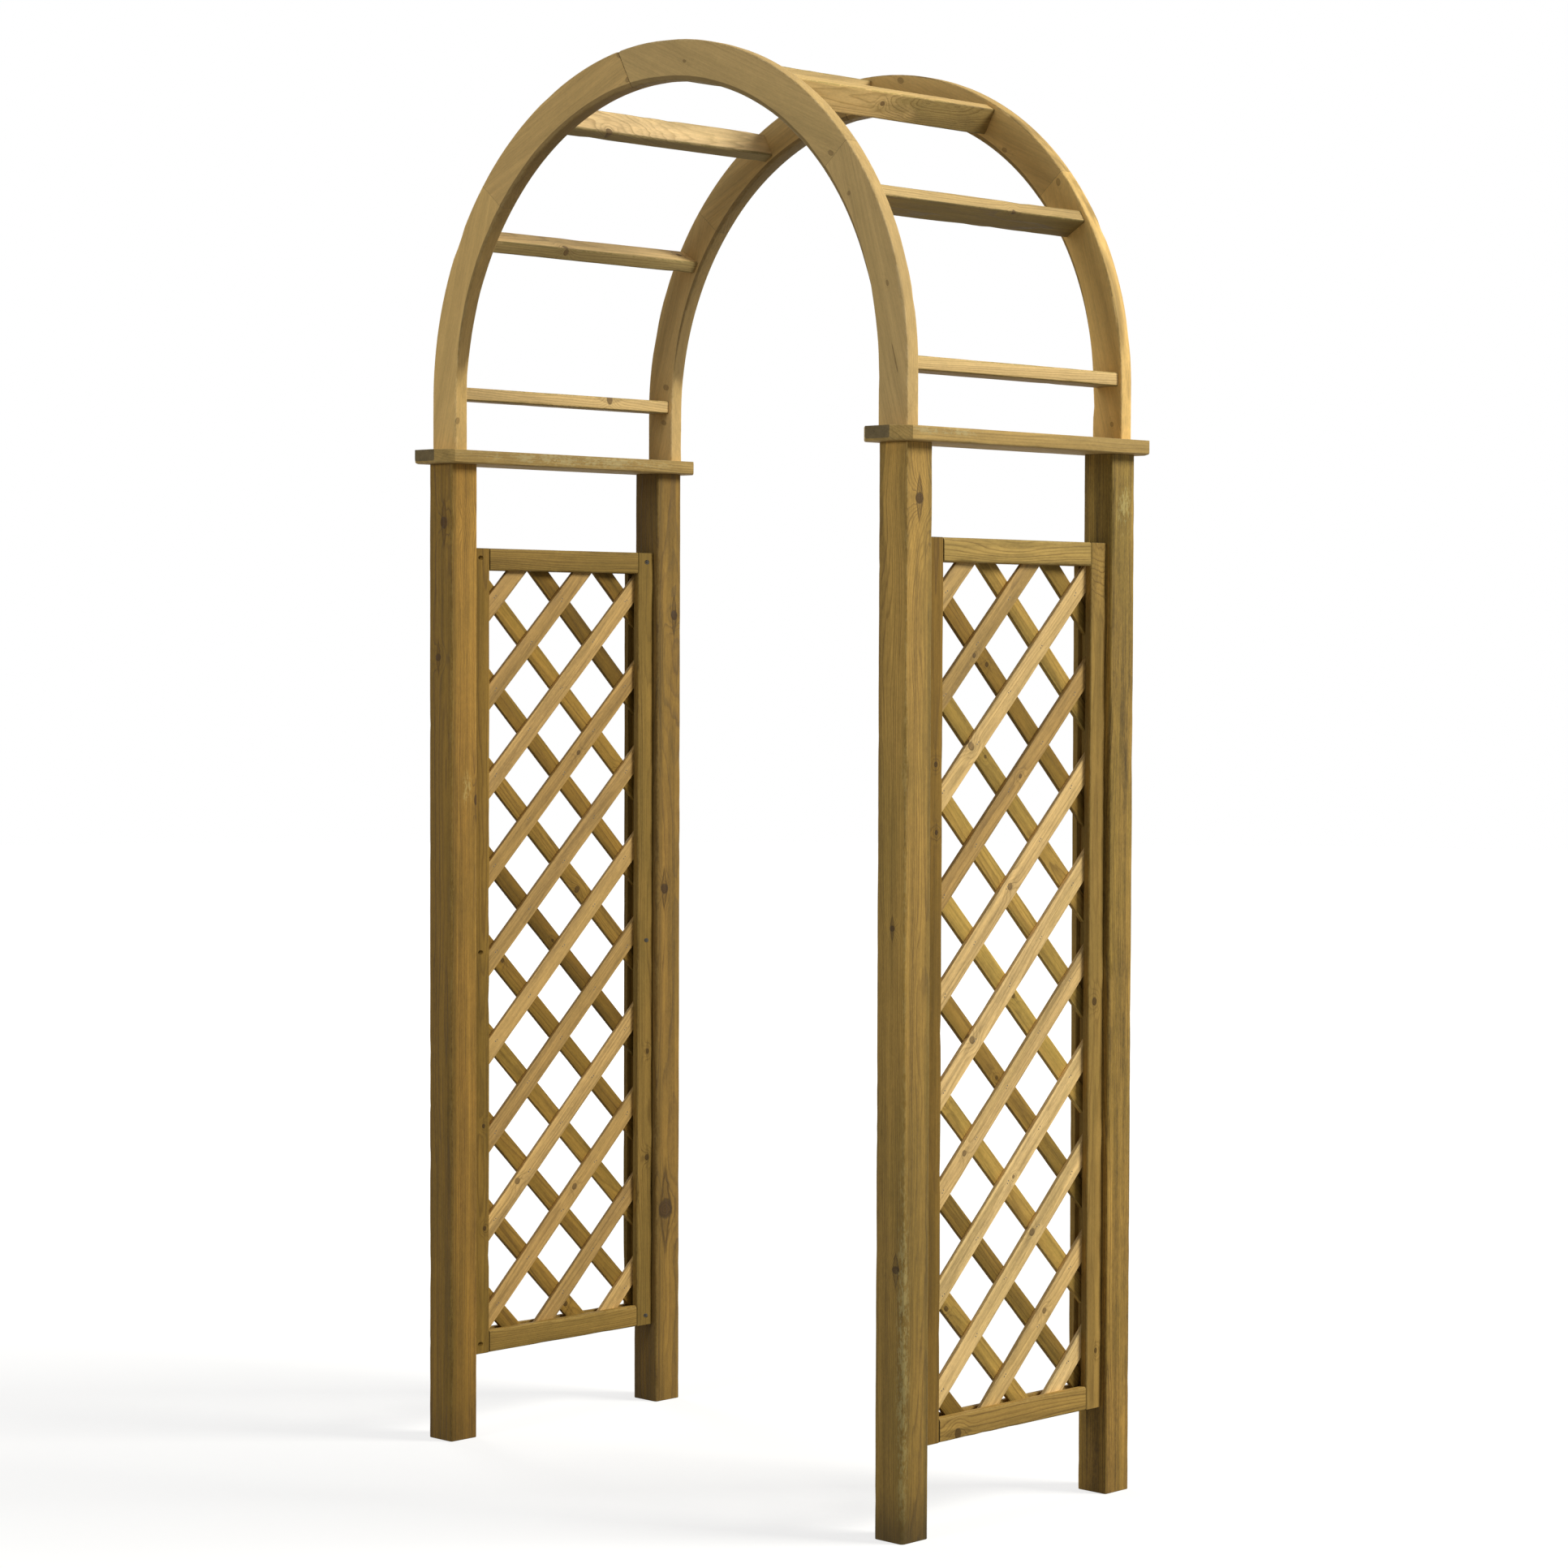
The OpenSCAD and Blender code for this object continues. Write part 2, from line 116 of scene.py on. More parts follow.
def addStage(s):
    scene = bpy.context.scene
    scene.view_settings.view_transform = "Standard"
    world = bpy.data.worlds.new("studio")
    scene.world = world
    world.use_nodes = True
    t = world.node_tree
    t.nodes.clear()
    white = addNode(t, "Background", {"Color": (1, 1, 1)})
    sky = addNode(t, "Background", {"Color": s["skyColour"], "Strength": s["skyLight"]})
    out = addNode(t, "OutputWorld")
    feed(t, whiteWhereSeen(t, sky.outputs[0], white.outputs[0]), out.inputs["Surface"])

    turns = [math.tau * i / s["floorSides"] for i in range(s["floorSides"])]
    ring = [(s["floorRadius"] * math.cos(turn), s["floorRadius"] * math.sin(turn), 0) for turn in turns]
    mesh = bpy.data.meshes.new("floor")
    mesh.from_pydata(ring, [], [tuple(range(len(ring)))])
    floor = bpy.data.objects.new("floor", mesh)
    scene.collection.objects.link(floor)
    mat = bpy.data.materials.new("paleFloor")
    mat.use_nodes = True
    t = mat.node_tree
    t.nodes.clear()
    matt = addNode(t, "BsdfDiffuse", {"Color": s["floorMatt"]})
    bounce = addNode(t, "BsdfDiffuse", {"Color": s["floorBounce"]})
    place = addNode(t, "TexCoord")
    far = addNode(t, "VectorMath", {0: place.outputs["Object"]}, operation="LENGTH")
    fade = addNode(t, "MapRange", {"Value": far.outputs["Value"],
                                   "From Min": s["glowReach"][0], "From Max": s["glowReach"][1],
                                   "To Min": s["glow"][0], "To Max": s["glow"][1]})
    glow = addNode(t, "Emission", {"Strength": fade.outputs["Result"]})
    both = addNode(t, "AddShader", {0: matt.outputs[0], 1: glow.outputs[0]})
    out = addNode(t, "OutputMaterial")
    feed(t, whiteWhereSeen(t, bounce.outputs[0], both.outputs[0]), out.inputs["Surface"])
    mesh.materials.append(mat)

    for lamp in s["lamps"]:
        addLamp(*lamp)


addCamera(stage)
addStage(stage)
print("stage set")

# colours are linear; ring is the distance from one growth ring to the next, in metres, rings is how dark
# the late wood in it looks, stained is how much of the stain's colour lies in patches, figure is how strong
# the streaks and clouds are, flame is how dark the pointed grain at the knots is, knot is how dark the knots
# are, and arris is how much of its own tint a worn edge takes; edge is the colour of a darker side, which is
# painted shade on the hoops, the rungs and two posts and a stain on the front right post and the back hoop's
# outer side, under is how much of it shows, and shine is the gloss
woodBasics = {"stained": 0.50, "flame": 0.3, "arris": 0.6, "knot": 0.8, "edge": None, "under": 0.62,
              "shine": 0.30}
woodLooks = {
    "postWood": {"early": (0.430, 0.266, 0.069), "late": (0.170, 0.096, 0.018),
                 "stain": (0.240, 0.160, 0.038), "arrisTint": (0.43, 0.30, 0.105),
                 "ring": 0.0046, "rings": 0.80, "figure": 1.6, "flame": 1.0, "arris": 0.70, "knot": 1.0},
    "greenPostWood": {"early": (0.470, 0.300, 0.086), "late": (0.170, 0.098, 0.018),
                      "stain": (0.250, 0.170, 0.040), "arrisTint": (0.36, 0.25, 0.072), "ring": 0.0040,
                      "rings": 0.95, "stained": 0.60, "figure": 2.5, "flame": 0.6, "arris": 0.55, "knot": 1.0},
    "capWood": {"early": (0.530, 0.350, 0.112), "late": (0.240, 0.145, 0.036),
                "stain": (0.360, 0.245, 0.078), "arrisTint": (0.46, 0.34, 0.14),
                "ring": 0.0048, "rings": 0.65, "figure": 1.1, "flame": 0.4, "knot": 0.9},
    "hoopWood": {"early": (0.650, 0.442, 0.172), "late": (0.390, 0.236, 0.072),
                 "stain": (0.520, 0.356, 0.130), "arrisTint": (0.74, 0.54, 0.25),
                 "ring": 0.0052, "rings": 0.22, "stained": 0.40, "figure": 0.75, "flame": 0.12,
                 "arris": 0.7, "knot": 0.55, "edge": (0.250, 0.165, 0.058), "under": 0.95},
    "rungWood": {"early": (0.740, 0.520, 0.225), "late": (0.350, 0.214, 0.064),
                 "stain": (0.540, 0.386, 0.148), "arrisTint": (0.30, 0.225, 0.060),
                 "ring": 0.0046, "rings": 0.75, "stained": 0.40, "figure": 0.95, "flame": 0.4,
                 "arris": 0.8, "knot": 0.90, "edge": (0.270, 0.195, 0.064), "under": 0.85},
    "frameWood": {"early": (0.430, 0.280, 0.076), "late": (0.170, 0.098, 0.021),
                  "stain": (0.260, 0.180, 0.046), "arrisTint": (0.40, 0.285, 0.090),
                  "ring": 0.0042, "rings": 0.80, "figure": 1.2, "flame": 0.5, "knot": 0.9, "shine": 0.18},
    "risingWood": {"early": (0.630, 0.408, 0.148), "late": (0.280, 0.165, 0.045),
                   "stain": (0.470, 0.312, 0.100), "arrisTint": (0.66, 0.48, 0.20),
                   "ring": 0.0060, "rings": 0.62, "stained": 0.45, "figure": 1.5},
    "fallingWood": {"early": (0.230, 0.132, 0.028), "late": (0.088, 0.046, 0.009),
                    "stain": (0.150, 0.094, 0.018), "arrisTint": (0.32, 0.24, 0.070),
                    "ring": 0.0056, "rings": 0.60, "stained": 0.55, "figure": 1.5, "shine": 0.15},
    "dowelWood": {"early": (0.620, 0.440, 0.200), "late": (0.400, 0.260, 0.100),
                  "stain": (0.540, 0.390, 0.170), "arrisTint": (0.56, 0.42, 0.20), "ring": 0.0030,
                  "rings": 0.60, "stained": 0.30, "figure": 1.0, "flame": 0.0, "arris": 0.0, "knot": 0.0},
}

# the front right post was sawn with close rings, and the back left one gets darker painted shade on its
# front face, which faces the panels
woodLooks["closePostWood"] = {**woodLooks["postWood"], "ring": 0.0030, "rings": 0.9}
woodLooks["paintedShadePostWood"] = {**woodLooks["postWood"], "edge": (0.110, 0.072, 0.018), "under": 0.48}

# noise: how quickly it changes along and across the grain, per metre, its detail and its roughness
woodClouds = {"slow": (1.4, 8.0, 1.5, 0.5), "quick": (9.0, 50.0, 2.0, 0.5), "mottle": (26.0, 60.0, 3.0, 0.6),
              "wobble": (60.0, 60.0, 2.0, 0.5), "uneven": (0.0, 60.0, 1.0, 0.5),
              "fibre": (9.0, 520.0, 3.0, 0.6), "streak": (2.5, 150.0, 3.0, 0.6),
              "broad": (0.9, 48.0, 2.0, 0.5), "patch": (2.2, 16.0, 3.0, 0.55),
              "speckle": (120.0, 330.0, 2.0, 0.6), "fleck": (100.0, 260.0, 3.0, 0.7)}
# growth rings: bend and ripple are in metres, and shades go from the start of a ring to its end
woodRings = {"bend": 0.042, "ripple": 0.0045, "uneven": 1.6, "differ": 0.70, "least": 0.35,
             "shades": ((0.0, 0.55), (0.07, 0.12), (0.35, 0.04), (0.66, 0.30), (0.90, 1.0), (1.0, 0.80))}
# places and widths in a knot count its own radius; lines are (middle, sharpness)
knotLook = {"wobble": 0.55, "centre": -0.27, "slim": 0.19, "waver": 0.4, "narrow": -0.2,
            "flameLine": (0.85, 2.8), "flameFill": (0.9, 0.5, 0.0, 0.55), "flameEnds": (6.5, 3.5),
            "core": (1.06, 0.86), "rim": (1.0, 4.5), "swellReach": -0.12, "swell": 0.013,
            "rays": (1.3, 0.0), "rayCount": 4.0, "rayDark": 0.22, "coreDark": 0.76, "rimDark": 0.7,
            "coreTint": (0.34, 0.30, 0.30), "flameTint": 0.55, "rimTint": 0.25}
# what the treatment and the weather leave; chalk is the pale worn patch; side, sideWaver and sideTint shape
# the darker side, which is painted shade on the hoops, the rungs and two posts, and a stain on the front right
# post and the back hoop's outer side
wornLook = {"patch": (0.40, 0.66), "arrisBroken": (0.88, 1.10), "sideWaver": 0.5, "side": (0.80, 0.98),
            "sideTint": 0.85, "cutTint": (0.24, 0.27, 0.38), "cutDark": 0.88, "fleckMottle": 0.6,
            "chalkFade": (1.0, 0.25), "chalkThin": -0.16, "chalkFlecks": (0.70, 0.80), "chalkShow": 0.62,
            "chalkColour": (0.56, 0.46, 0.22),
            "swings": (("fibre", 0.09), ("streak", 0.13), ("broad", 0.17), ("mottle", 0.07), ("speckle", 0.08))}
woodRelief = {"late": 0.45, "fibre": 0.5, "mottle": 0.35, "knot": -0.5, "strength": 0.5, "deep": 0.0012,
              "rough": (0.2, 1.4, 0.80, 0.60)}


def woodMaterial(name, look, ownPlaces=True):
    look = {**woodBasics, **look}
    mat = bpy.data.materials.new(name)
    mat.use_nodes = True
    t = mat.node_tree
    t.nodes.clear()

    def sums(kind, a, b=0.0, c=None, clamp=False):
        inputs = {0: a, 1: b} if c is None else {0: a, 1: b, 2: c}
        return addNode(t, "Math", inputs, operation=kind, use_clamp=clamp).outputs[0]

    def plus(a, b):
        return sums("ADD", a, b)

    def times(a, b):
        return sums("MULTIPLY", a, b)

    def timesPlus(a, b, c):
        return sums("MULTIPLY_ADD", a, b, c)

    def larger(a, b):
        return sums("MAXIMUM", a, b)

    def lineAt(value, middle, sharp):
        # 1 where the value is the middle one, and less on both sides
        off = sums("ABSOLUTE", times(sums("SUBTRACT", value, middle), sharp))
        return sums("SUBTRACT", 1.0, off, clamp=True)

    def vectors(kind, a, b):
        return addNode(t, "VectorMath", {0: a, 1: b}, operation=kind).outputs[0]

    def scaled(a, scale):
        return addNode(t, "VectorMath", {0: a, "Scale": scale}, operation="SCALE").outputs[0]

    def lengthOf(a):
        return addNode(t, "VectorMath", {0: a}, operation="LENGTH").outputs["Value"]

    def cloud(label):
        along, across, detail, rough = woodClouds[label]
        n = addNode(t, "TexNoise")
        inputs = {"Vector": vectors("MULTIPLY", grain, (along, across, across)), "Scale": 1.0,
                  "Detail": detail, "Roughness": rough}
        for key, value in inputs.items():
            feed(t, value, n.inputs[key])
        return n

    def ranged(value, low, high, toLow=0.0, toHigh=1.0, smooth=False):
        inputs = {"Value": value, "From Min": low, "From Max": high, "To Min": toLow, "To Max": toHigh}
        way = "SMOOTHSTEP" if smooth else "LINEAR"
        return addNode(t, "MapRange", inputs, interpolation_type=way).outputs["Result"]

    def mixed(amount, a, b):
        return addNode(t, "Mix", {"Factor": amount, 6: a, 7: b}, data_type="RGBA").outputs[2]

    def attribute(label, output="Fac"):
        return addNode(t, "Attribute", attribute_name=label).outputs[output]

    grain = attribute("grain", "Vector") if ownPlaces else addNode(t, "TexCoord").outputs["Object"]
    arris = attribute("arris")
    band = attribute("band")
    tint = attribute("tint", "Vector") if ownPlaces else (1.0, 1.0, 1.0)
    cutEnd = attribute("cutEnd")
    chalk = lengthOf(attribute("chalk", "Vector")) if ownPlaces else 2.0

    # growth rings, bent by slow changes along the grain
    slow, quick = cloud("slow"), cloud("quick")
    evenly = (0.5, 0.5, 0.5)
    bend = scaled(vectors("SUBTRACT", slow.outputs["Color"], evenly), woodRings["bend"])
    ripple = scaled(vectors("SUBTRACT", quick.outputs["Color"], evenly), woodRings["ripple"])
    radius = lengthOf(vectors("MULTIPLY", vectors("ADD", vectors("ADD", grain, bend), ripple), (0.0, 1.0, 1.0)))

    # knots: each attribute is a place counted in that knot's own radius
    core, rim, swell, rays, flame = 0.0, 0.0, 0.0, 0.0, 0.0
    mottle = cloud("mottle").outputs["Fac"]
    if ownPlaces:
        wobble = cloud("wobble").outputs["Fac"]
        for label in knotLabels:
            here = attribute(label, "Vector")
            away = plus(lengthOf(here), timesPlus(wobble, knotLook["wobble"], knotLook["centre"]))
            parts = addNode(t, "SeparateXYZ", {0: here})
            beyond = sums("ABSOLUTE", parts.outputs["X"])
            beside = plus(sums("ABSOLUTE", parts.outputs["Y"]), parts.outputs["Z"])
            lens = timesPlus(beyond, knotLook["slim"],
                             timesPlus(wobble, knotLook["waver"], plus(beside, knotLook["narrow"])))
            outline = lineAt(lens, *knotLook["flameLine"])
            spindle = larger(outline, ranged(lens, *knotLook["flameFill"], smooth=True))
            flame = larger(flame, times(spindle, ranged(beyond, *knotLook["flameEnds"])))
            core = larger(core, ranged(away, *knotLook["core"], smooth=True))
            rim = larger(rim, lineAt(away, *knotLook["rim"]))
            swell = plus(swell, sums("POWER", 2.718, times(times(away, away), knotLook["swellReach"])))
            rays = larger(rays, ranged(away, *knotLook["rays"]))
        radius = timesPlus(swell, knotLook["swell"], radius)

    uneven = cloud("uneven").outputs["Fac"]
    counted = timesPlus(uneven, woodRings["uneven"], sums("DIVIDE", radius, look["ring"]))
    oneRing = addNode(t, "ValToRGB")
    feed(t, sums("FRACT", counted), oneRing.inputs["Fac"])
    stops = oneRing.color_ramp.elements
    first, *between, last = woodRings["shades"]
    for stop, (place, shade) in zip(tuple(stops), (first, last)):
        stop.position, stop.color = place, (shade, shade, shade, 1)
    for place, shade in between:
        stops.new(place).color = (shade, shade, shade, 1)
    eachRing = addNode(t, "TexWhiteNoise", noise_dimensions="1D")
    feed(t, sums("FLOOR", counted), eachRing.inputs["W"])
    lateness = times(oneRing.outputs["Color"],
                     timesPlus(eachRing.outputs["Value"], woodRings["differ"], woodRings["least"]))

    # fibres, and the patches that the treatment leaves
    layers = {label: cloud(label).outputs["Fac"] for label in ("fibre", "streak", "broad", "patch", "speckle")}
    layers["mottle"] = mottle
    colour = mixed(times(lateness, look["rings"]), look["early"], look["late"])
    patches = ranged(layers["patch"], *wornLook["patch"], smooth=True)
    colour = mixed(times(patches, look["stained"]), colour, look["stain"])
    broken = ranged(plus(mottle, layers["speckle"]), *wornLook["arrisBroken"])
    colour = mixed(times(times(arris, broken), look["arris"]), colour, look["arrisTint"])
    # painted shade and a stain on one side: the hoops, the rungs and two posts' front faces get painted shade,
    # and the front right post's back side and the back hoop's outer side get a stain
    paintedShadeAndStain = ranged(timesPlus(layers["broad"], wornLook["sideWaver"], band), *wornLook["side"], smooth=True)
    edge = look["edge"] or tuple(c * wornLook["sideTint"] for c in look["stain"])
    sideColour = vectors("MULTIPLY", colour, tuple(e / c for e, c in zip(edge, look["early"])))
    colour = mixed(times(paintedShadeAndStain, look["under"]), colour, sideColour)

    def lateTimes(*shares):
        return tuple(c * k for c, k in zip(look["late"], shares * 3))

    colour = mixed(times(flame, look["flame"]), colour, lateTimes(knotLook["flameTint"]))
    rayRings = sums("FRACT", times(rays, knotLook["rayCount"])) if ownPlaces else 0.0
    coreShow = times(timesPlus(rayRings, knotLook["rayDark"], knotLook["coreDark"]), look["knot"])
    colour = mixed(times(core, coreShow), colour, lateTimes(*knotLook["coreTint"]))
    colour = mixed(times(rim, knotLook["rimDark"] * look["knot"]), colour, lateTimes(knotLook["rimTint"]))
    cut = tuple(c * k for c, k in zip(look["early"], wornLook["cutTint"]))
    colour = mixed(times(cutEnd, wornLook["cutDark"]), colour, cut)
    flecks = plus(cloud("fleck").outputs["Fac"], times(mottle, wornLook["fleckMottle"]))
    chalky = times(ranged(chalk, *wornLook["chalkFade"], smooth=True),
                   ranged(timesPlus(chalk, wornLook["chalkThin"], flecks), *wornLook["chalkFlecks"]))
    colour = mixed(times(chalky, wornLook["chalkShow"]), colour, wornLook["chalkColour"])
    shade = 1.0
    for label, swing in wornLook["swings"]:
        swing *= look["figure"]
        shade = plus(shade, ranged(layers[label], 0.25, 0.75, -swing, swing))
    finished = vectors("MULTIPLY", scaled(colour, shade), tint)

    height = timesPlus(lateness, woodRelief["late"], times(layers["fibre"], woodRelief["fibre"]))
    height = timesPlus(mottle, woodRelief["mottle"], height)
    height = timesPlus(rim, woodRelief["knot"], height)
    bump = addNode(t, "Bump", {"Strength": woodRelief["strength"], "Distance": woodRelief["deep"],
                               "Height": height})
    bsdf = addNode(t, "BsdfPrincipled", {"Base Color": finished})
    feed(t, ranged(plus(layers["fibre"], lateness), *woodRelief["rough"]), bsdf.inputs["Roughness"])
    feed(t, bump.outputs["Normal"], bsdf.inputs["Normal"])
    bsdf.inputs["Specular IOR Level"].default_value = look["shine"]
    out = addNode(t, "OutputMaterial")
    feed(t, bsdf.outputs[0], out.inputs["Surface"])
    return mat


def steelMaterial(name, colour, rough):
    # zinc plate: fine scratches and dull spots
    mat = bpy.data.materials.new(name)
    mat.use_nodes = True
    t = mat.node_tree
    bsdf = t.nodes["Principled BSDF"]
    coords = addNode(t, "TexCoord")
    spots = addNode(t, "TexNoise", {"Scale": 900.0, "Detail": 3.0, "Vector": coords.outputs["Object"]})
    ramp = addNode(t, "ValToRGB", {"Fac": spots.outputs["Fac"]})
    for stop, place, share in zip(ramp.color_ramp.elements, (0.35, 0.65), (0.62, 1.0)):
        stop.position, stop.color = place, (*[c * share for c in colour], 1)
    dull = addNode(t, "MapRange", {"To Min": rough * 0.8, "To Max": rough * 1.25,
                                   "Value": spots.outputs["Fac"]})
    bump = addNode(t, "Bump", {"Strength": 0.3, "Distance": 0.0002, "Height": spots.outputs["Fac"]})
    for key, value in (("Base Color", ramp.outputs["Color"]), ("Roughness", dull.outputs["Result"]),
                       ("Normal", bump.outputs["Normal"]), ("Metallic", 0.6)):
        feed(t, value, bsdf.inputs[key])
    return mat


knotLabels = ("knotA", "knotB", "knotC")
woods = {name: woodMaterial(name, look, name != "dowelWood") for name, look in woodLooks.items()}
screwSteel = steelMaterial("screwSteel", (0.24, 0.22, 0.18), 0.5)
nailSteel = steelMaterial("nailSteel", (0.16, 0.14, 0.11), 0.55)
print("finishes made")

cornerSigns = ((1, 1), (-1, 1), (-1, -1), (1, -1))
xAxis, yAxis, zAxis = Vector((1, 0, 0)), Vector((0, 1, 0)), Vector((0, 0, 1))
noKnot = (40.0, 40.0, 0.0)  # a place far outside the knot
noFlare = (0.0, 1.0, 0.0, 0.0, False)
plainTints = ((1, 1, 1), (1, 1, 1))
evenTaper = ((1.0, 1.0),) * 4
sharpAngle = math.radians(32)


def seedOf(name):
    return sum((i + 3) * ord(c) for i, c in enumerate(name))


def sectionRing(w, d, radii, steps=4, inset=0.0, groove=None, midPlane=None):
    # a bar seen on its end, going round from the corner at (+, +); arris is 1 in the middle of a corner
    ring, arris = [], []
    halfW, halfD = w / 2 - inset, d / 2 - inset
    for k, (sx, sy) in enumerate(cornerSigns):
        r = max(radii[k] - inset, 0.0002)
        for i in range(steps + 1):
            turn = (k + i / steps) * math.pi / 2
            ring.append((sx * (halfW - r) + r * math.cos(turn), sy * (halfD - r) + r * math.sin(turn)))
            arris.append(math.sin(math.pi * i / steps))
        if groove and k == 2:
            g, deep = groove
            ring += [(-g / 2, -halfD), (-g / 2, -d / 2 + deep), (g / 2, -d / 2 + deep), (g / 2, -halfD)]
            arris += [0.6, 0.0, 0.0, 0.6]
        if midPlane is not None and k in (1, 3):
            ring.append((-halfW if k == 1 else halfW, midPlane))
            arris.append(0.0)
    return ring, arris


# dents are so many metres long and shares of the corner's own radius deep; slow and quick are waves per metre
wear = {"dentLong": (0.006, 0.03), "dentDeep": (0.25, 1.1), "slow": 8, "quick": 37, "quickShare": 0.6,
        "least": 0.3, "rows": 900}


def wornArrises(seed, length, base, waver, dents, rough=(1.0, 1.0, 1.0, 1.0), taper=evenTaper):
    # gives the four corner radii at a place along a bar: they waver, and a few dents widen them;
    # rough is how far each corner follows that, and taper is its share of base at the start and the end
    rand = random.Random(seed)
    rows = [rand.uniform(0, wear["rows"]) for _ in range(4)]
    marks = [[(rand.uniform(0, length), rand.uniform(*wear["dentLong"]), base * rand.uniform(*wear["dentDeep"]))
              for _ in range(dents)] for _ in range(4)]

    def at(s):
        radii = []
        for row, dentRow, share, (atStart, atEnd) in zip(rows, marks, rough, taper):
            quick = wear["quickShare"] * noise.noise((row, s * wear["quick"], 4))
            change = base * waver * (noise.noise((row, s * wear["slow"], 0)) + quick)
            change += sum(deep * math.exp(-((s - place) / spread) ** 2) for place, spread, deep in dentRow)
            own = base * (atStart + (atEnd - atStart) * s / length)
            radii.append(max(own + change * share, base * wear["least"]))
        return radii
    return at


grainLabels = ("grain", "tint", *knotLabels, "chalk")
timberRules = {}  # the rule that gives the places in the wood of each piece
grainBasics = {"shift": 50, "toneStep": 0.14, "stretch": 1.25, "behind": 3}


def newTimber():
    timber = {label: [] for label in grainLabels}
    timber.update({"points": [], "faces": [], "arris": [], "cut": [], "band": []})
    return timber


def addLoft(timber, rings, arris, cutSpans=(), ends=(1.0, 1.0)):
    first, n = len(timber["points"]), len(rings[0])
    for ring in rings:
        timber["points"].extend(ring)
        timber["arris"].extend(arris)
    for i in range(len(rings) - 1):
        low, high = first + i * n, first + (i + 1) * n
        for j in range(n):
            k = (j + 1) % n
            timber["faces"].append((low + j, low + k, high + k, high + j))
            timber["cut"].append(1.0 if i in cutSpans else 0.0)
    last = first + (len(rings) - 1) * n
    timber["faces"].append(tuple(reversed(range(first, first + n))))
    timber["faces"].append(tuple(range(last, last + n)))
    timber["cut"] += list(ends)
    return first


def addGrain(timber, first, origin, along, side, up, seed, pith, slope, tone=0.0, knots=(), tints=plainTints,
             reach=1.0, bandPer=0.0, flare=noFlare, bandOf=None, chalk=None, damp=(0.0, 1.0)):
    # the wood is multiplied by the first tint at its start and by the second at reach; band grows along up
    # unless bandOf gives it; flare bends the rings near one place, which makes pointed grain: place, spread,
    # how far towards side and towards up, and whether they stay bent after it; chalk is a pale worn patch:
    # its place along, on side and on up, its reach along and its reach across; damp is how much darker
    # the start is, and how far up that goes;
    # knots are (place along, place on side, place on up, radius, stretch), and each runs out from the pith
    rand = random.Random(seed)
    shift = rand.uniform(0, grainBasics["shift"])
    slopes = (rand.uniform(-slope, slope), rand.uniform(-slope, slope))
    labelled = list(zip(knotLabels, tuple(knots) + (None,) * (len(knotLabels) - len(knots))))
    startTint, endTint = (Vector(t) * (1 + grainBasics["toneStep"] * tone) for t in tints)

    def read(p):
        q = p - origin
        s, a, b = q.dot(along), q.dot(side), q.dot(up)
        t = (s - flare[0]) / flare[1]
        bent = 0.5 + 0.5 * math.tanh(t) if flare[4] else math.exp(-t * t)
        dry = 1 - damp[0] * math.exp(-(s / damp[1]) ** 2)
        found = {"grain": (s + shift, a - pith[0] - slopes[0] * s + flare[2] * bent,
                           b - pith[1] - slopes[1] * s + flare[3] * bent),
                 "tint": tuple(startTint.lerp(endTint, min(max(s / reach, 0.0), 1.0)) * dry),
                 "band": b * bandPer if bandOf is None else bandOf(p, a, b), "chalk": noKnot}
        if chalk:
            found["chalk"] = ((s - chalk[0]) / chalk[3], (a - chalk[1]) / chalk[4], (b - chalk[2]) / chalk[4])
        for label, knot in labelled:
            if knot is None:
                found[label] = noKnot
                continue
            s0, a0, b0, r = knot[:4]
            stretch = knot[4] if len(knot) > 4 else grainBasics["stretch"]
            out = Vector((a0 - pith[0], b0 - pith[1])).normalized()
            across = (b - b0) * out.x - (a - a0) * out.y
            behind = max(0.0, -((a - pith[0]) * out.x + (b - pith[1]) * out.y))
            found[label] = ((s - s0) / (stretch * r), across / r, grainBasics["behind"] * behind / r)
        return found

    for p in timber["points"][first:]:
        for label, value in read(p).items():
            timber[label].append(value)
    timber["read"] = read


def writePlaces(mesh, timber):
    for label in grainLabels:
        data = (mesh.attributes.get(label) or mesh.attributes.new(label, "FLOAT_VECTOR", "POINT")).data
        data.foreach_set("vector", [c for v in timber[label] for c in v])
    data = (mesh.attributes.get("band") or mesh.attributes.new("band", "FLOAT", "POINT")).data
    data.foreach_set("value", timber["band"])


def makePiece(name, timber, material, nodes):
    mesh = bpy.data.meshes.new(name)
    mesh.from_pydata(timber["points"], [], timber["faces"])
    writePlaces(mesh, timber)
    mesh.attributes.new("arris", "FLOAT", "POINT").data.foreach_set("value", timber["arris"])
    mesh.attributes.new("cutEnd", "FLOAT", "FACE").data.foreach_set("value", timber["cut"])
    mesh.shade_smooth()
    mesh.set_sharp_from_angle(angle=sharpAngle)
    mesh.materials.append(material)
    mesh.update()
    obj = bpy.data.objects.new(name, mesh)
    bpy.context.scene.collection.objects.link(obj)
    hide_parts(*nodes)
    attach(obj, "root")
    timberRules[name] = timber["read"]


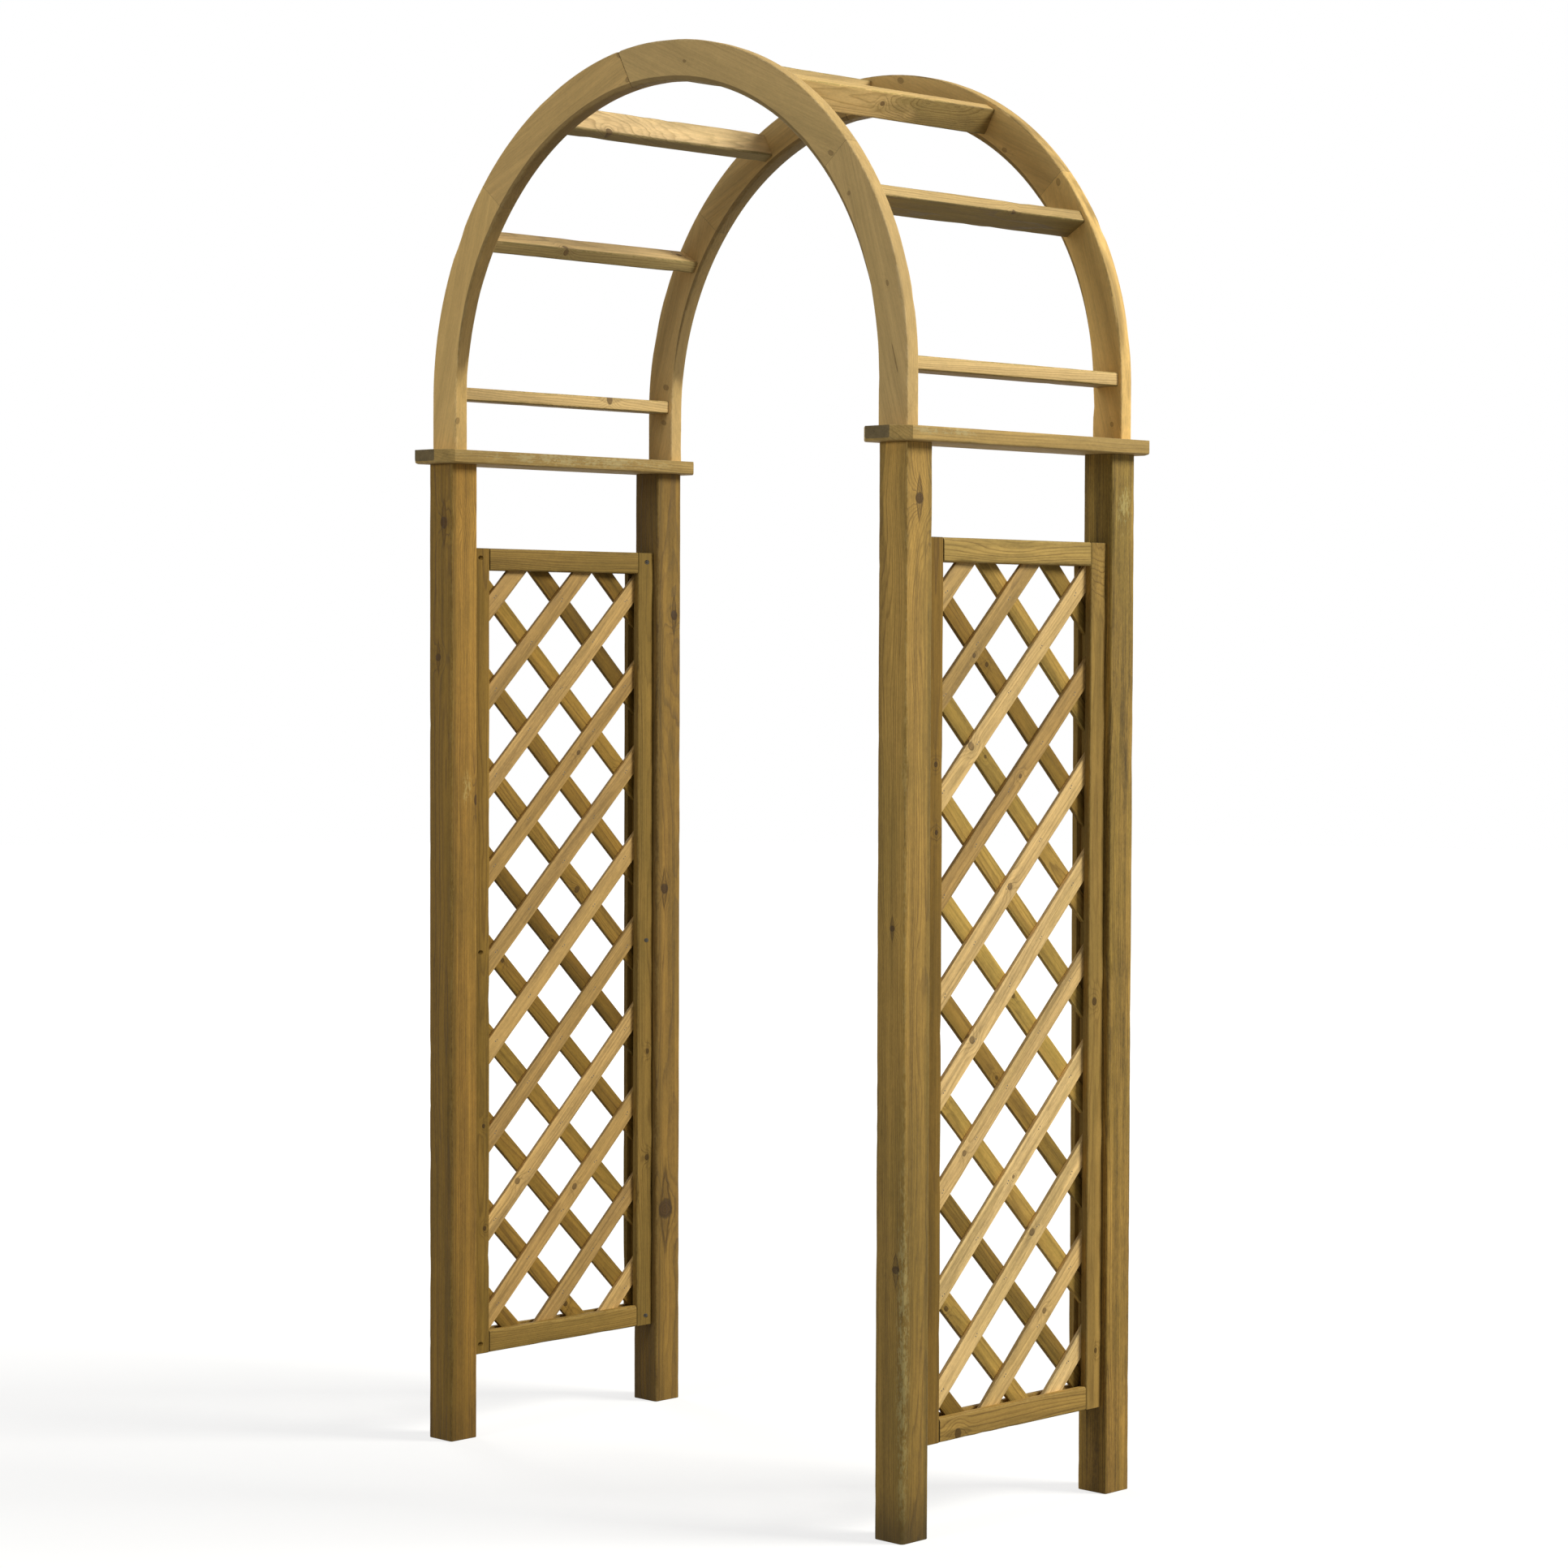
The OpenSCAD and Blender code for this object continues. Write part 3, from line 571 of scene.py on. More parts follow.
def cutPockets(name, pockets, radius, deep):
    # pockets are (mouth, direction); the wood's own places are read again at the new points
    bm = bmesh.new()
    length = deep + 2 * radius
    for mouth, into in pockets:
        into = Vector(into).normalized()
        place = Matrix.Translation(Vector(mouth) + into * (deep - length / 2))
        bmesh.ops.create_cone(bm, cap_ends=True, segments=screws["sides"], radius1=radius, radius2=radius,
                              depth=length, matrix=place @ into.to_track_quat("Z", "Y").to_matrix().to_4x4())
    tool = bpy.data.objects.new("pocketTool", bpy.data.meshes.new("pocketTool"))
    bm.to_mesh(tool.data)
    bm.free()
    bpy.context.scene.collection.objects.link(tool)
    body = bpy.data.objects[name]
    cut = body.modifiers.new("pockets", "BOOLEAN")
    cut.operation, cut.solver, cut.object = "DIFFERENCE", "EXACT", tool
    mesh = bpy.data.meshes.new_from_object(body.evaluated_get(bpy.context.evaluated_depsgraph_get()))
    body.modifiers.clear()
    bpy.data.objects.remove(tool)
    body.data = mesh
    found = [timberRules[name](v.co) for v in mesh.vertices]
    writePlaces(mesh, {label: [f[label] for f in found] for label in grainLabels + ("band",)})
    mesh.shade_smooth()
    mesh.set_sharp_from_angle(angle=sharpAngle)


def barPlaces(length, step, bevel):
    # places along a bar with a narrow bevel ring at each end: (place, inset)
    count = max(2, round((length - 2 * bevel) / step))
    inner = [(bevel + (length - 2 * bevel) * i / count, 0.0) for i in range(count + 1)]
    return [(0.0, bevel)] + inner + [(length, bevel)]


def addBar(timber, start, along, side, length, w, d, radiiAt, steps=4, groove=None, bevel=0.0008, step=0.025):
    up = along.cross(side)
    rings = []
    for s, inset in barPlaces(length, step, bevel):
        ring, arris = sectionRing(w, d, radiiAt(s), steps, inset, groove)
        rings.append([start + along * s + side * a + up * b for a, b in ring])
    return addLoft(timber, rings, arris, cutSpans=(0, len(rings) - 2))


def standing(name):
    # the middle of a node's foot, and its height
    low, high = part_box(name)
    return Vector(((low[0] + high[0]) / 2, (low[1] + high[1]) / 2, low[2])), high[2] - low[2]


posts = {
    "size": 0.070, "edge": 0.0050, "waver": 0.60, "dents": 16, "step": 0.014, "slope": 0.006,
    "rough": (0.25, 0.3, 0.3, 1.0), "dampReach": 0.07,
    # band darkens one side of a post: -1 is painted shade on the front (-Y) face, and 1 a stain along the back
    # (+Y) side
    "each": {
        "post_front_left": {
            "wood": "postWood", "pith": (0.030, 0.022), "tints": ((0.91, 0.80, 0.53), (1.12, 1.00, 0.73)),
            "band": -1.0, "damp": 0.28, "chalk": (1.337, 0.036, 0.006, 0.05, 0.020),
            "knots": ((1.315, 0.035, 0.031, 0.008), (1.88, 0.012, -0.035, 0.009),
                      (1.606, -0.006, -0.035, 0.006))},
        "post_front_right": {
            "wood": "closePostWood", "pith": (-0.060, 0.030), "tints": ((0.72, 0.71, 0.57), (1.20, 1.17, 1.09)),
            "band": 1.0, "damp": 0.62, "chalk": (0.34, 0.035, -0.035, 0.50, 0.024),
            "flare": (1.90, 0.10, 0.010, 0.0, False), "taper": ((1.0, 1.0), (1.0, 1.0), (1.0, 1.0), (1.5, 0.5)),
            "knots": ((1.898, 0.035, -0.001, 0.0095, 0.95), (0.50, 0.016, -0.035, 0.0055),
                      (1.12, 0.004, -0.035, 0.004))},
        "post_back_left": {
            "wood": "paintedShadePostWood", "pith": (-0.034, 0.030), "tints": ((0.83, 0.76, 0.60), (0.76, 0.71, 0.58)),
            "band": -1.0, "damp": 0.18, "flare": (1.62, 0.16, -0.020, 0.0, False),
            "knots": ((0.416, 0.035, -0.008, 0.016), (1.109, 0.035, -0.013, 0.008),
                      (1.697, 0.035, 0.014, 0.008))},
        "post_back_right": {
            "wood": "greenPostWood", "pith": (0.040, -0.036), "tints": ((0.88, 0.80, 0.60), (0.81, 0.81, 0.63)),
            "damp": 0.14, "flare": (1.20, 0.30, 0.022, 0.0, False),
            "chalk": (1.900, 0.036, 0.002, 0.075, 0.032)}},
}

for name, own in posts["each"].items():
    foot, length = standing(name)
    post = newTimber()
    worn = wornArrises(seedOf(name), length, posts["edge"], posts["waver"], posts["dents"], posts["rough"],
                       own.get("taper", evenTaper))
    first = addBar(post, foot, zAxis, xAxis, length, posts["size"], posts["size"], worn, step=posts["step"])
    addGrain(post, first, foot, zAxis, xAxis, yAxis, seedOf(name), own["pith"], posts["slope"], 0.0,
             own.get("knots", ()), own["tints"], length, own.get("band", 0.0) * 2 / posts["size"],
             own.get("flare", noFlare), chalk=own.get("chalk"), damp=(own["damp"], posts["dampReach"]))
    makePiece(name + "_timber", post, woods[own["wood"]], [name])
print("posts made")

caps = {"clip": 0.030, "lowEdge": 0.004, "topEdge": 0.0010, "step": 0.03, "waver": 0.25, "dents": 3,
        "slope": 0.01,
        "each": {"cap_left": {"pith": (0.02, 0.062), "chalk": (0.36, 0.060, -0.003, 0.42, 0.022)},
                 "cap_right": {"pith": (-0.03, 0.070), "chalk": (0.12, 0.060, -0.006, 0.16, 0.012)}}}

for name, own in caps["each"].items():
    low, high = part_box(name)
    w, length, thick = high[0] - low[0], high[1] - low[1], high[2] - low[2]
    midX, midZ = (low[0] + high[0]) / 2, (low[2] + high[2]) / 2
    clip, edge, top = caps["clip"], caps["lowEdge"], caps["topEdge"]
    worn = wornArrises(seedOf(name), length, edge, caps["waver"], caps["dents"])
    count = round((length - 2 * clip) / caps["step"])
    # the places from end to end: the clipped corners narrow the first and last ones
    places = [0.0, edge, clip] + [clip + (length - 2 * clip) * i / count for i in range(1, count)]
    places += [length - clip, length - edge, length]
    rings = []
    for s in places:
        fromEnd = min(s, length - s)
        narrow = 2 * max(0.0, clip - fromEnd)
        raised = max(0.0, edge - fromEnd)
        radii = worn(s)
        ring, arris = sectionRing(w - narrow, thick - raised, (radii[0], radii[1], top, top), 3)
        rings.append([Vector((midX + a, low[1] + s, midZ + raised / 2 - b)) for a, b in ring])
    cap = newTimber()
    first = addLoft(cap, rings, arris)
    addGrain(cap, first, Vector((midX, low[1], midZ)), yAxis, xAxis, -zAxis, seedOf(name), own["pith"],
             caps["slope"], chalk=own["chalk"])
    makePiece(name + "_board", cap, woods["capWood"], [name])
print("caps made")

hoop = {"outer": 0.655, "inner": 0.583, "innerDrop": 0.006, "arcZ": 2.132, "footZ": 2.027, "thick": 0.032,
        "y": 0.304, "edge": 0.0042, "step": 0.022, "waver": 0.12, "dents": 2, "slope": 0.02,
        # the butt joints and the halved joint at the crown
        "butt": 50.0, "lapHalf": 0.088, "slant": 20.0, "slantSteps": 5, "gap": 0.0001, "lapGap": 0.0004,
        "bevel": 0.0008, "buttBevel": 0.0002, "midLine": 0.0006, "thinned": 0.0012,
        "liftHigh": 0.007, "lift": 5,
        # the painted shade on the side towards the walkway: how dark it starts, the rise to the full dark, its
        # line across the wood
        "darkStart": 0.45, "darkRise": 0.35, "darkLine": (4, 3), "outerSide": -0.9, "backEdge": 0.60,
        # the middle of the board that each length was sawn from, and the way that its grain runs
        "legMiddle": (0.93, 0.14), "legGrain": (0.28, 0.96),
        "topMiddle": (0.42, 0.80), "topGrain": (0.90, 0.42),
        # marks are small knots and resin marks on the front faces: x, z, radius, stretch along the grain
        "each": {
            "front_hoop_leg_left": {"tone": -0.1, "tint": (1.22, 1.18, 1.08),
                                    "marks": ((-0.575, 2.083, 0.0042, 1.4),)},
            "front_hoop_top_left": {"tone": 0.1, "tint": (1.09, 1.05, 0.99),
                                    "marks": ((-0.077, 2.722, 0.0050, 1.6), (-0.100, 2.774, 0.0045, 1.8))},
            "front_hoop_top_right": {"tone": 0.1,
                                     "marks": ((0.463, 2.532, 0.0042, 1.6), (0.079, 2.740, 0.0030, 1.4))},
            "front_hoop_leg_right": {"tone": 0.0, "marks": ((0.605, 2.286, 0.0028, 1.8),
                                                            (0.6245, 2.150, 0.0016, 16.0),
                                                            (0.509, 2.455, 0.0030, 1.2))},
            "back_hoop_leg_left": {"tone": 0.0,
                                   "marks": ((-0.606, 2.110, 0.0038, 1.3), (-0.600, 2.185, 0.0050, 1.2))},
            "back_hoop_top_left": {"tone": -0.2, "marks": ((-0.300, 2.660, 0.0035, 1.5),)},
            "back_hoop_top_right": {"tone": 0.1, "tint": (1.18, 1.15, 1.06),
                                    "marks": ((0.079, 2.770, 0.0042, 2.0), (0.356, 2.606, 0.0040, 1.6))},
            "back_hoop_leg_right": {"tone": 0.2, "tint": (1.40, 1.36, 1.20),
                                    "marks": ((0.494, 2.532, 0.0048, 1.5), (0.632, 2.058, 0.0040, 1.2))}}}
hoopMid = (hoop["outer"] + hoop["inner"]) / 2
lapAngle = math.asin(hoop["lapHalf"] / hoopMid)


def hoopInner(angle):
    drop, s = hoop["innerDrop"], math.sin(angle)
    return -drop * s + math.sqrt((drop * s) ** 2 - drop ** 2 + hoop["inner"] ** 2)


def shoulderTurn(rho, slant):
    # how far round a slanting shoulder has moved on at the radius rho
    c, s = math.cos(slant), math.sin(slant)
    t = -hoopMid * c + math.sqrt((hoopMid * c) ** 2 - hoopMid ** 2 + rho ** 2)
    return math.atan2(t * s, hoopMid + t * c)


def hoopRing(angle, y, radii, inset=0.0, slant=0.0, drawn=0.0, keep=None, shoulder=False, thinned=False):
    # slant goes from -1, the near shoulder, to 1, the far one, and drawn pulls the ring back from a joint;
    # keep is the half that goes on past the shoulder, and thinned lays the other half on the middle plane
    inner = hoopInner(angle)
    w, mid = hoop["outer"] - inner, (hoop["outer"] + inner) / 2
    midPlane = None if keep is None else keep * hoop["midLine"]
    ring, arris = sectionRing(w, hoop["thick"], radii, 4, 0.0, None, midPlane)
    narrow, _ = sectionRing(w, hoop["thick"], radii, 4, inset, None, midPlane)
    tilt = math.copysign(math.radians(hoop["slant"]), slant)
    points = []
    for (a, b), (a2, b2) in zip(ring, narrow):
        if not shoulder or b * keep < 0:
            a, b = a2, b2
        if thinned and b * keep < 0:
            a, b = a * (1 - hoop["thinned"] / w), 0.0
        rho = mid + a
        turn = angle + abs(slant) * shoulderTurn(rho, tilt)
        lift = max(0.0, (rho - hoop["outer"] + hoop["liftHigh"]) / hoop["liftHigh"])
        turn -= drawn * (1 + hoop["lift"] * lift * lift) / rho
        points.append(Vector((rho * math.cos(turn), y + b, hoop["arcZ"] + rho * math.sin(turn))))
    return points, arris


def mirrored(rings):
    # across the middle of the walkway: the rings are taken from the other end, so their faces look outward
    return [[Vector((-p.x, p.y, p.z)) for p in ring] for ring in reversed(rings)]


def hoopShadeAndWeathering(p, a, b):
    # painted shade: the side towards the walkway is painted darker as it turns down: 1 there, -1 outside, but
    # the outer side of the back hoop is weathered in patches
    rise = max(p.z - hoop["arcZ"], 0.0)
    share = (hoopMid - math.hypot(p.x, rise)) / (hoop["outer"] - hoopMid)
    if p.y > 0 and share < hoop["outerSide"]:
        return hoop["backEdge"]
    steep, lower = hoop["darkLine"]
    return (steep * share - lower) * min(1.0, hoop["darkStart"] + rise / hoop["darkRise"])


def finishHoopPiece(name, rings, arris, cutSpans, middle, along):
    # each length was sawn from a straight board, so its grain runs along the chord
    own = hoop["each"][name]
    timber = newTimber()
    first = addLoft(timber, rings, arris, cutSpans)
    rand = random.Random(seedOf(name) + 5)
    side = yAxis.cross(along).normalized()
    pith = (rand.uniform(-0.05, 0.05), abs(rand.choice((-1, 1)) * rand.uniform(0.03, 0.06)))
    knots = []
    for x, z, r, stretch in own["marks"]:
        q = Vector((x, middle.y, z)) - middle
        knots.append((q.dot(along), q.dot(side), -hoop["thick"] / 2, r, stretch))
    addGrain(timber, first, middle, along, side, yAxis, seedOf(name), pith, hoop["slope"], own["tone"], knots,
             (own.get("tint", (1, 1, 1)),) * 2, bandOf=hoopShadeAndWeathering)
    makePiece(name + "_timber", timber, woods["hoopWood"], [name])


def makeHoopLeg(name, y, left):
    height = hoop["arcZ"] - hoop["footZ"]
    length = height + hoopMid * math.radians(90 - hoop["butt"]) - hoop["gap"] / 2
    worn = wornArrises(seedOf(name), length, hoop["edge"], hoop["waver"], hoop["dents"])
    rings = []
    for s, inset in barPlaces(length, hoop["step"], hoop["buttBevel"]):
        if s < height:
            ring, arris = sectionRing(hoop["outer"] - hoop["inner"], hoop["thick"], worn(s), 4, inset)
            points = [Vector((hoopMid + a, y + b, hoop["footZ"] + s)) for a, b in ring]
        else:
            points, arris = hoopRing((s - height) / hoopMid, y, worn(s), inset)
        rings.append(points)
    if left:
        rings = mirrored(rings)
    side = -1 if left else 1
    (out, up), (lean, rise) = hoop["legMiddle"], hoop["legGrain"]
    middle = Vector((side * hoop["outer"] * out, y, hoop["arcZ"] + up))
    along = Vector((-side * lean, 0, rise)).normalized()
    finishHoopPiece(name, rings, arris, (0, len(rings) - 2), middle, along)


def makeHoopTop(name, y, left):
    # the piece runs from its butt joint to the far shoulder; the left one is mirrored from the right
    keep = 1 if left else -1
    butt, full, half = math.radians(90 - hoop["butt"]), math.pi / 2 - lapAngle, math.pi / 2 + lapAngle
    worn = wornArrises(seedOf(name), hoopMid * (half - butt), hoop["edge"], hoop["waver"], hoop["dents"])
    lapGap, bevel, steps = hoop["lapGap"], hoop["bevel"], hoop["slantSteps"]
    rings = []

    def add(angle, **how):
        points, arris = hoopRing(angle, y, worn(hoopMid * (angle - butt)), keep=keep, **how)
        rings.append(points)
        return arris

    start, ends = butt + hoop["gap"] / 2 / hoopMid, hoop["buttBevel"] / hoopMid
    add(start, inset=hoop["buttBevel"])
    count = round(hoopMid * (full - butt) / hoop["step"])
    for i in range(count):
        add(start + ends + (full - start - ends) * i / count, slant=-max(0.0, (i - count + steps) / steps))
    add(full, slant=-1.0, drawn=lapGap + bevel)
    add(full, slant=-1.0, drawn=lapGap, inset=bevel, shoulder=True)
    cuts = [0, len(rings) - 1]
    add(full, slant=-1.0, drawn=lapGap, thinned=True)
    count = round(hoopMid * (half - full) / hoop["step"])
    for i in range(1, count):
        add(full + (half - full) * i / count, slant=-1.0 + 2.0 * i / count, thinned=True)
    add(half, slant=1.0, drawn=lapGap + bevel, thinned=True)
    arris = add(half, slant=1.0, drawn=lapGap, inset=bevel, thinned=True)
    if left:
        cuts = [len(rings) - 2 - i for i in cuts]
        rings = mirrored(rings)
    side = -1 if left else 1
    (out, up), (lean, rise) = hoop["topMiddle"], hoop["topGrain"]
    middle = Vector((side * hoop["outer"] * out, y, hoop["arcZ"] + hoop["outer"] * up))
    finishHoopPiece(name, rings, arris, cuts, middle, Vector((-side * lean, 0, rise)).normalized())


for y, word in ((-hoop["y"], "front"), (hoop["y"], "back")):
    makeHoopLeg(word + "_hoop_leg_left", y, True)
    makeHoopTop(word + "_hoop_top_left", y, True)
    makeHoopTop(word + "_hoop_top_right", y, False)
    makeHoopLeg(word + "_hoop_leg_right", y, False)
print("hoops made")

# shade gives the painted shade on one side of a rung, mostly its lower or walkway side: where it lies
# across and through, and how much it fades to the front end
rungs = {"first": 1.0, "pitch": 178.0 / 6, "crownTurn": 1.2, "width": 0.055, "thick": 0.026, "edge": 0.0035,
         "waver": 0.3, "dents": 3, "bevel": 0.0006, "slope": 0.03, "tone": 0.5, "darkLine": (2.2, 1.2),
         "each": {
             "rung_right_low": {"pith": (0.03, 0.05), "shade": (0, 1, 0)},
             "rung_right_mid": {"pith": (-0.02, -0.06), "shade": (0, 1, 0),
                                "knots": ((0.367, 0.026, 0.013, 0.004),),
                                "tints": ((0.95, 0.95, 0.92), (0.80, 0.78, 0.70))},
             "rung_right_high": {"pith": (0.015, 0.05), "shade": (0, 1, 0.7),
                                 "knots": ((0.262, 0.004, 0.013, 0.0045),),
                                 "tints": ((1.10, 1.08, 1.02), (0.92, 0.88, 0.78)),
                                 "flare": (0.42, 0.09, 0.0, 0.032, False)},
             "rung_crown": {"pith": (0.0, 0.06), "shade": (-1, 0, 0)},
             "rung_left_high": {"pith": (-0.01, -0.05), "shade": (-1, 0, 0),
                                "knots": ((0.112, -0.024, 0.013, 0.0065),),
                                "tints": ((1.12, 1.16, 1.36), (1.12, 1.16, 1.36)),
                                "flare": (0.22, 0.09, 0.0, 0.040, True)},
             "rung_left_mid": {"pith": (0.02, 0.055), "shade": (-1, 0, 0),
                               "knots": ((0.200, -0.020, 0.013, 0.005), (0.545, 0.004, 0.013, 0.005)),
                               "tints": ((1.26, 1.27, 1.36), (1.26, 1.27, 1.36))},
             "rung_left_low": {"pith": (0.0, 0.05), "shade": (0, -1, 0),
                               "knots": ((0.403, -0.0275, 0.009, 0.006),)}}}

for i, (name, own) in enumerate(rungs["each"].items()):
    turned = rungs["crownTurn"] if name == "rung_crown" else 0
    angle = math.radians(rungs["first"] + i * rungs["pitch"] + turned)
    side = Vector((math.cos(angle), 0, math.sin(angle)))
    length = 2 * hoop["y"] - hoop["thick"]
    start = Vector((0, -length / 2, hoop["arcZ"])) + side * hoopMid

    # painted shade: the side that the shade entry names is painted darker
    def rungShade(p, a, b):
        (across, through, fade), (steep, lower) = own["shade"], rungs["darkLine"]
        share = across * 2 * a / rungs["width"] + through * 2 * b / rungs["thick"]
        return steep * share - lower - fade * (0.5 - p.y / length)

    rung = newTimber()
    worn = wornArrises(seedOf(name), length, rungs["edge"], rungs["waver"], rungs["dents"])
    first = addBar(rung, start, yAxis, side, length, rungs["width"], rungs["thick"], worn, bevel=rungs["bevel"])
    addGrain(rung, first, start, yAxis, side, yAxis.cross(side), seedOf(name), own["pith"], rungs["slope"],
             random.Random(i).uniform(-rungs["tone"], rungs["tone"]), own.get("knots", ()),
             own.get("tints", plainTints), length, flare=own.get("flare", noFlare), bandOf=rungShade)
    makePiece(name + "_timber", rung, woods["rungWood"], [name])
print("rungs made")

panels = {"size": 0.045, "edge": 0.0042, "waver": 0.3, "stileDents": 5, "railDents": 3, "stileSlope": 0.006,
          "railSlope": 0.01, "grooveWide": 0.0184, "grooveDeep": 0.012, "tongueWide": 0.018,
          "tongueOver": 0.0005, "tongueEdge": 0.0006, "tongueBevel": 0.0004,
          "each": {"stile_front_left": {"tint": (0.72, 0.65, 0.46)},
                   "stile_back_left": {"tint": (0.76, 0.72, 0.62)},
                   "stile_front_right": {"tint": (0.61, 0.54, 0.38)},
                   "stile_back_right": {"tint": (0.90, 0.86, 0.82), "pith": (-0.065, 0.0),
                                        "flare": (1.60, 0.065, -0.055, 0.0, True)},
                   "rail_top_left": {"tint": (0.80, 0.77, 0.70)},
                   "rail_bottom_left": {"tint": (0.92, 0.86, 0.76)},
                   "rail_top_right": {"tint": (1.12, 1.15, 1.25), "flare": (0.20, 0.10, 0.008, 0.0, False)},
                   "rail_bottom_right": {"tint": (1.10, 1.05, 1.00),
                                         "knots": ((0.050, 0.0225, 0.012, 0.0065),)}}}


def makeStile(name, side):
    own, size = panels["each"][name], panels["size"]
    foot, length = standing(name)
    stile = newTimber()
    worn = wornArrises(seedOf(name), length, panels["edge"], panels["waver"], panels["stileDents"])
    first = addBar(stile, foot, zAxis, side, length, size, size, worn,
                   groove=(panels["grooveWide"], panels["grooveDeep"]))
    # the pith is on the far side of the knots' face, so that no knot lies along a face
    rand = random.Random(seedOf(name))
    pith = (rand.choice((-1, 1)) * rand.uniform(0.02, 0.05), rand.uniform(-0.04, 0.04))
    pith = own.get("pith", (-side.x * abs(pith[0]), pith[1]))
    knots = tuple((rand.uniform(0.1, length - 0.1), size / 2 * side.x, rand.uniform(-0.012, 0.012),
                   rand.uniform(0.003, 0.006)) for _ in range(2))
    addGrain(stile, first, foot, zAxis, side, zAxis.cross(side), seedOf(name), pith, panels["stileSlope"],
             0.0, knots, (own["tint"],) * 2, length, flare=own.get("flare", noFlare))
    makePiece(name + "_timber", stile, woods["frameWood"], [name])


def makeRail(name, side, atBottom):
    own, size, deep, over = panels["each"][name], panels["size"], panels["grooveDeep"], panels["tongueOver"]
    low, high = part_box(name)
    midX, midZ = (low[0] + high[0]) / 2, (low[2] + high[2]) / 2
    start = Vector((midX, low[1] + deep, midZ))
    length = high[1] - low[1] - 2 * deep
    rail = newTimber()
    worn = wornArrises(seedOf(name), length, panels["edge"], panels["waver"], panels["railDents"])
    first = addBar(rail, start, yAxis, side, length, size, size, worn, groove=(panels["grooveWide"], deep))
    # the tongues at both ends fill the stiles' grooves
    outer = low[2] if atBottom else high[2] - (size - deep)
    for nearEnd in (low[1], high[1] - deep - over):
        tongueMid = Vector((midX, nearEnd, outer + (size - deep) / 2))
        addBar(rail, tongueMid, yAxis, side, deep + over, panels["tongueWide"], size - deep,
               lambda s: (panels["tongueEdge"],) * 4, steps=1, bevel=panels["tongueBevel"])
    rand = random.Random(seedOf(name))
    pith = (rand.uniform(-0.05, 0.05), rand.choice((-1, 1)) * 0.04)
    addGrain(rail, first, start, yAxis, side, yAxis.cross(side), seedOf(name), pith, panels["railSlope"], 0.0,
             own.get("knots", ()), (own["tint"],) * 2, length, flare=own.get("flare", noFlare))
    makePiece(name + "_timber", rail, woods["frameWood"], [name])


for lr in ("left", "right"):
    makeStile("stile_front_" + lr, -xAxis)
    makeStile("stile_back_" + lr, xAxis)
    makeRail("rail_bottom_" + lr, xAxis, True)
    makeRail("rail_top_" + lr, -xAxis, False)
print("panel frames made")

laths = {"width": 0.038, "thick": 0.009, "edge": 0.0012, "waver": 0.35, "dents": 2, "step": 0.03, "slope": 0.02,
         "each": 11, "pitch": 0.1834, "fieldHalf": 0.222, "fieldLow": 0.201, "fieldHigh": 1.797,
         "margin": 0.001,
         # how many of the laths have a knot, and how long those are at least
         "knotted": 0.6, "knotFrom": 0.3,
         "shift": {"rising_left": -0.009, "falling_left": -0.002,
                   "rising_right": 0.002, "falling_right": -0.014},
         "tints": {"rising_left": (0.98, 0.96, 0.93), "falling_left": (1.19, 1.16, 1.00),
                   "rising_right": (1.24, 1.30, 1.48), "falling_right": (1.51, 1.57, 1.62)},
         # how pale each lath is, from the lowest to the highest
         "pale": {"rising_left": (0.5, -0.5, -0.5, 0.5, -0.5, 0.0, -0.5, -1.0, 0.0, -1.0, -0.5),
                  "falling_left": (1.0, 1.0, 1.0, 2.5, 0.5, -0.5, 2.0, 1.0, 2.5, -0.5, 0.0),
                  "rising_right": (1.0, -0.5, 0.5, 1.0, 0.0, 0.5, 0.0, -2.0, 0.0, -1.5, -1.0),
                  "falling_right": (-1.0, 2.0, -0.5, 3.0, 0.0, 4.5, 3.0, 2.0, -1.0, 2.5, 0.0)},
         "paleStray": 0.2, "swing": (0.20, 0.23, 0.30)}  # swing is how far one step paler changes the colour


def lathHeight(lr, rise, number):
    # the height at which a lath's middle line crosses the middle of the panel
    word = "rising_" if rise > 0 else "falling_"
    return (laths["fieldLow"] + laths["fieldHigh"]) / 2 + number * laths["pitch"] + laths["shift"][word + lr]


def lathReach(z0, rise, across):
    # how far the lath runs both ways, on a line beside its middle line
    c = math.sqrt(0.5)
    half = laths["fieldHalf"] - laths["margin"]
    low, high = laths["fieldLow"] + laths["margin"], laths["fieldHigh"] - laths["margin"]
    yShift, zShift = -rise * c * across, z0 + c * across
    ends = ((-half - yShift) / c, (half - yShift) / c)
    heights = sorted((rise * (low - zShift) / c, rise * (high - zShift) / c))
    return max(ends[0], heights[0]), min(ends[1], heights[1])


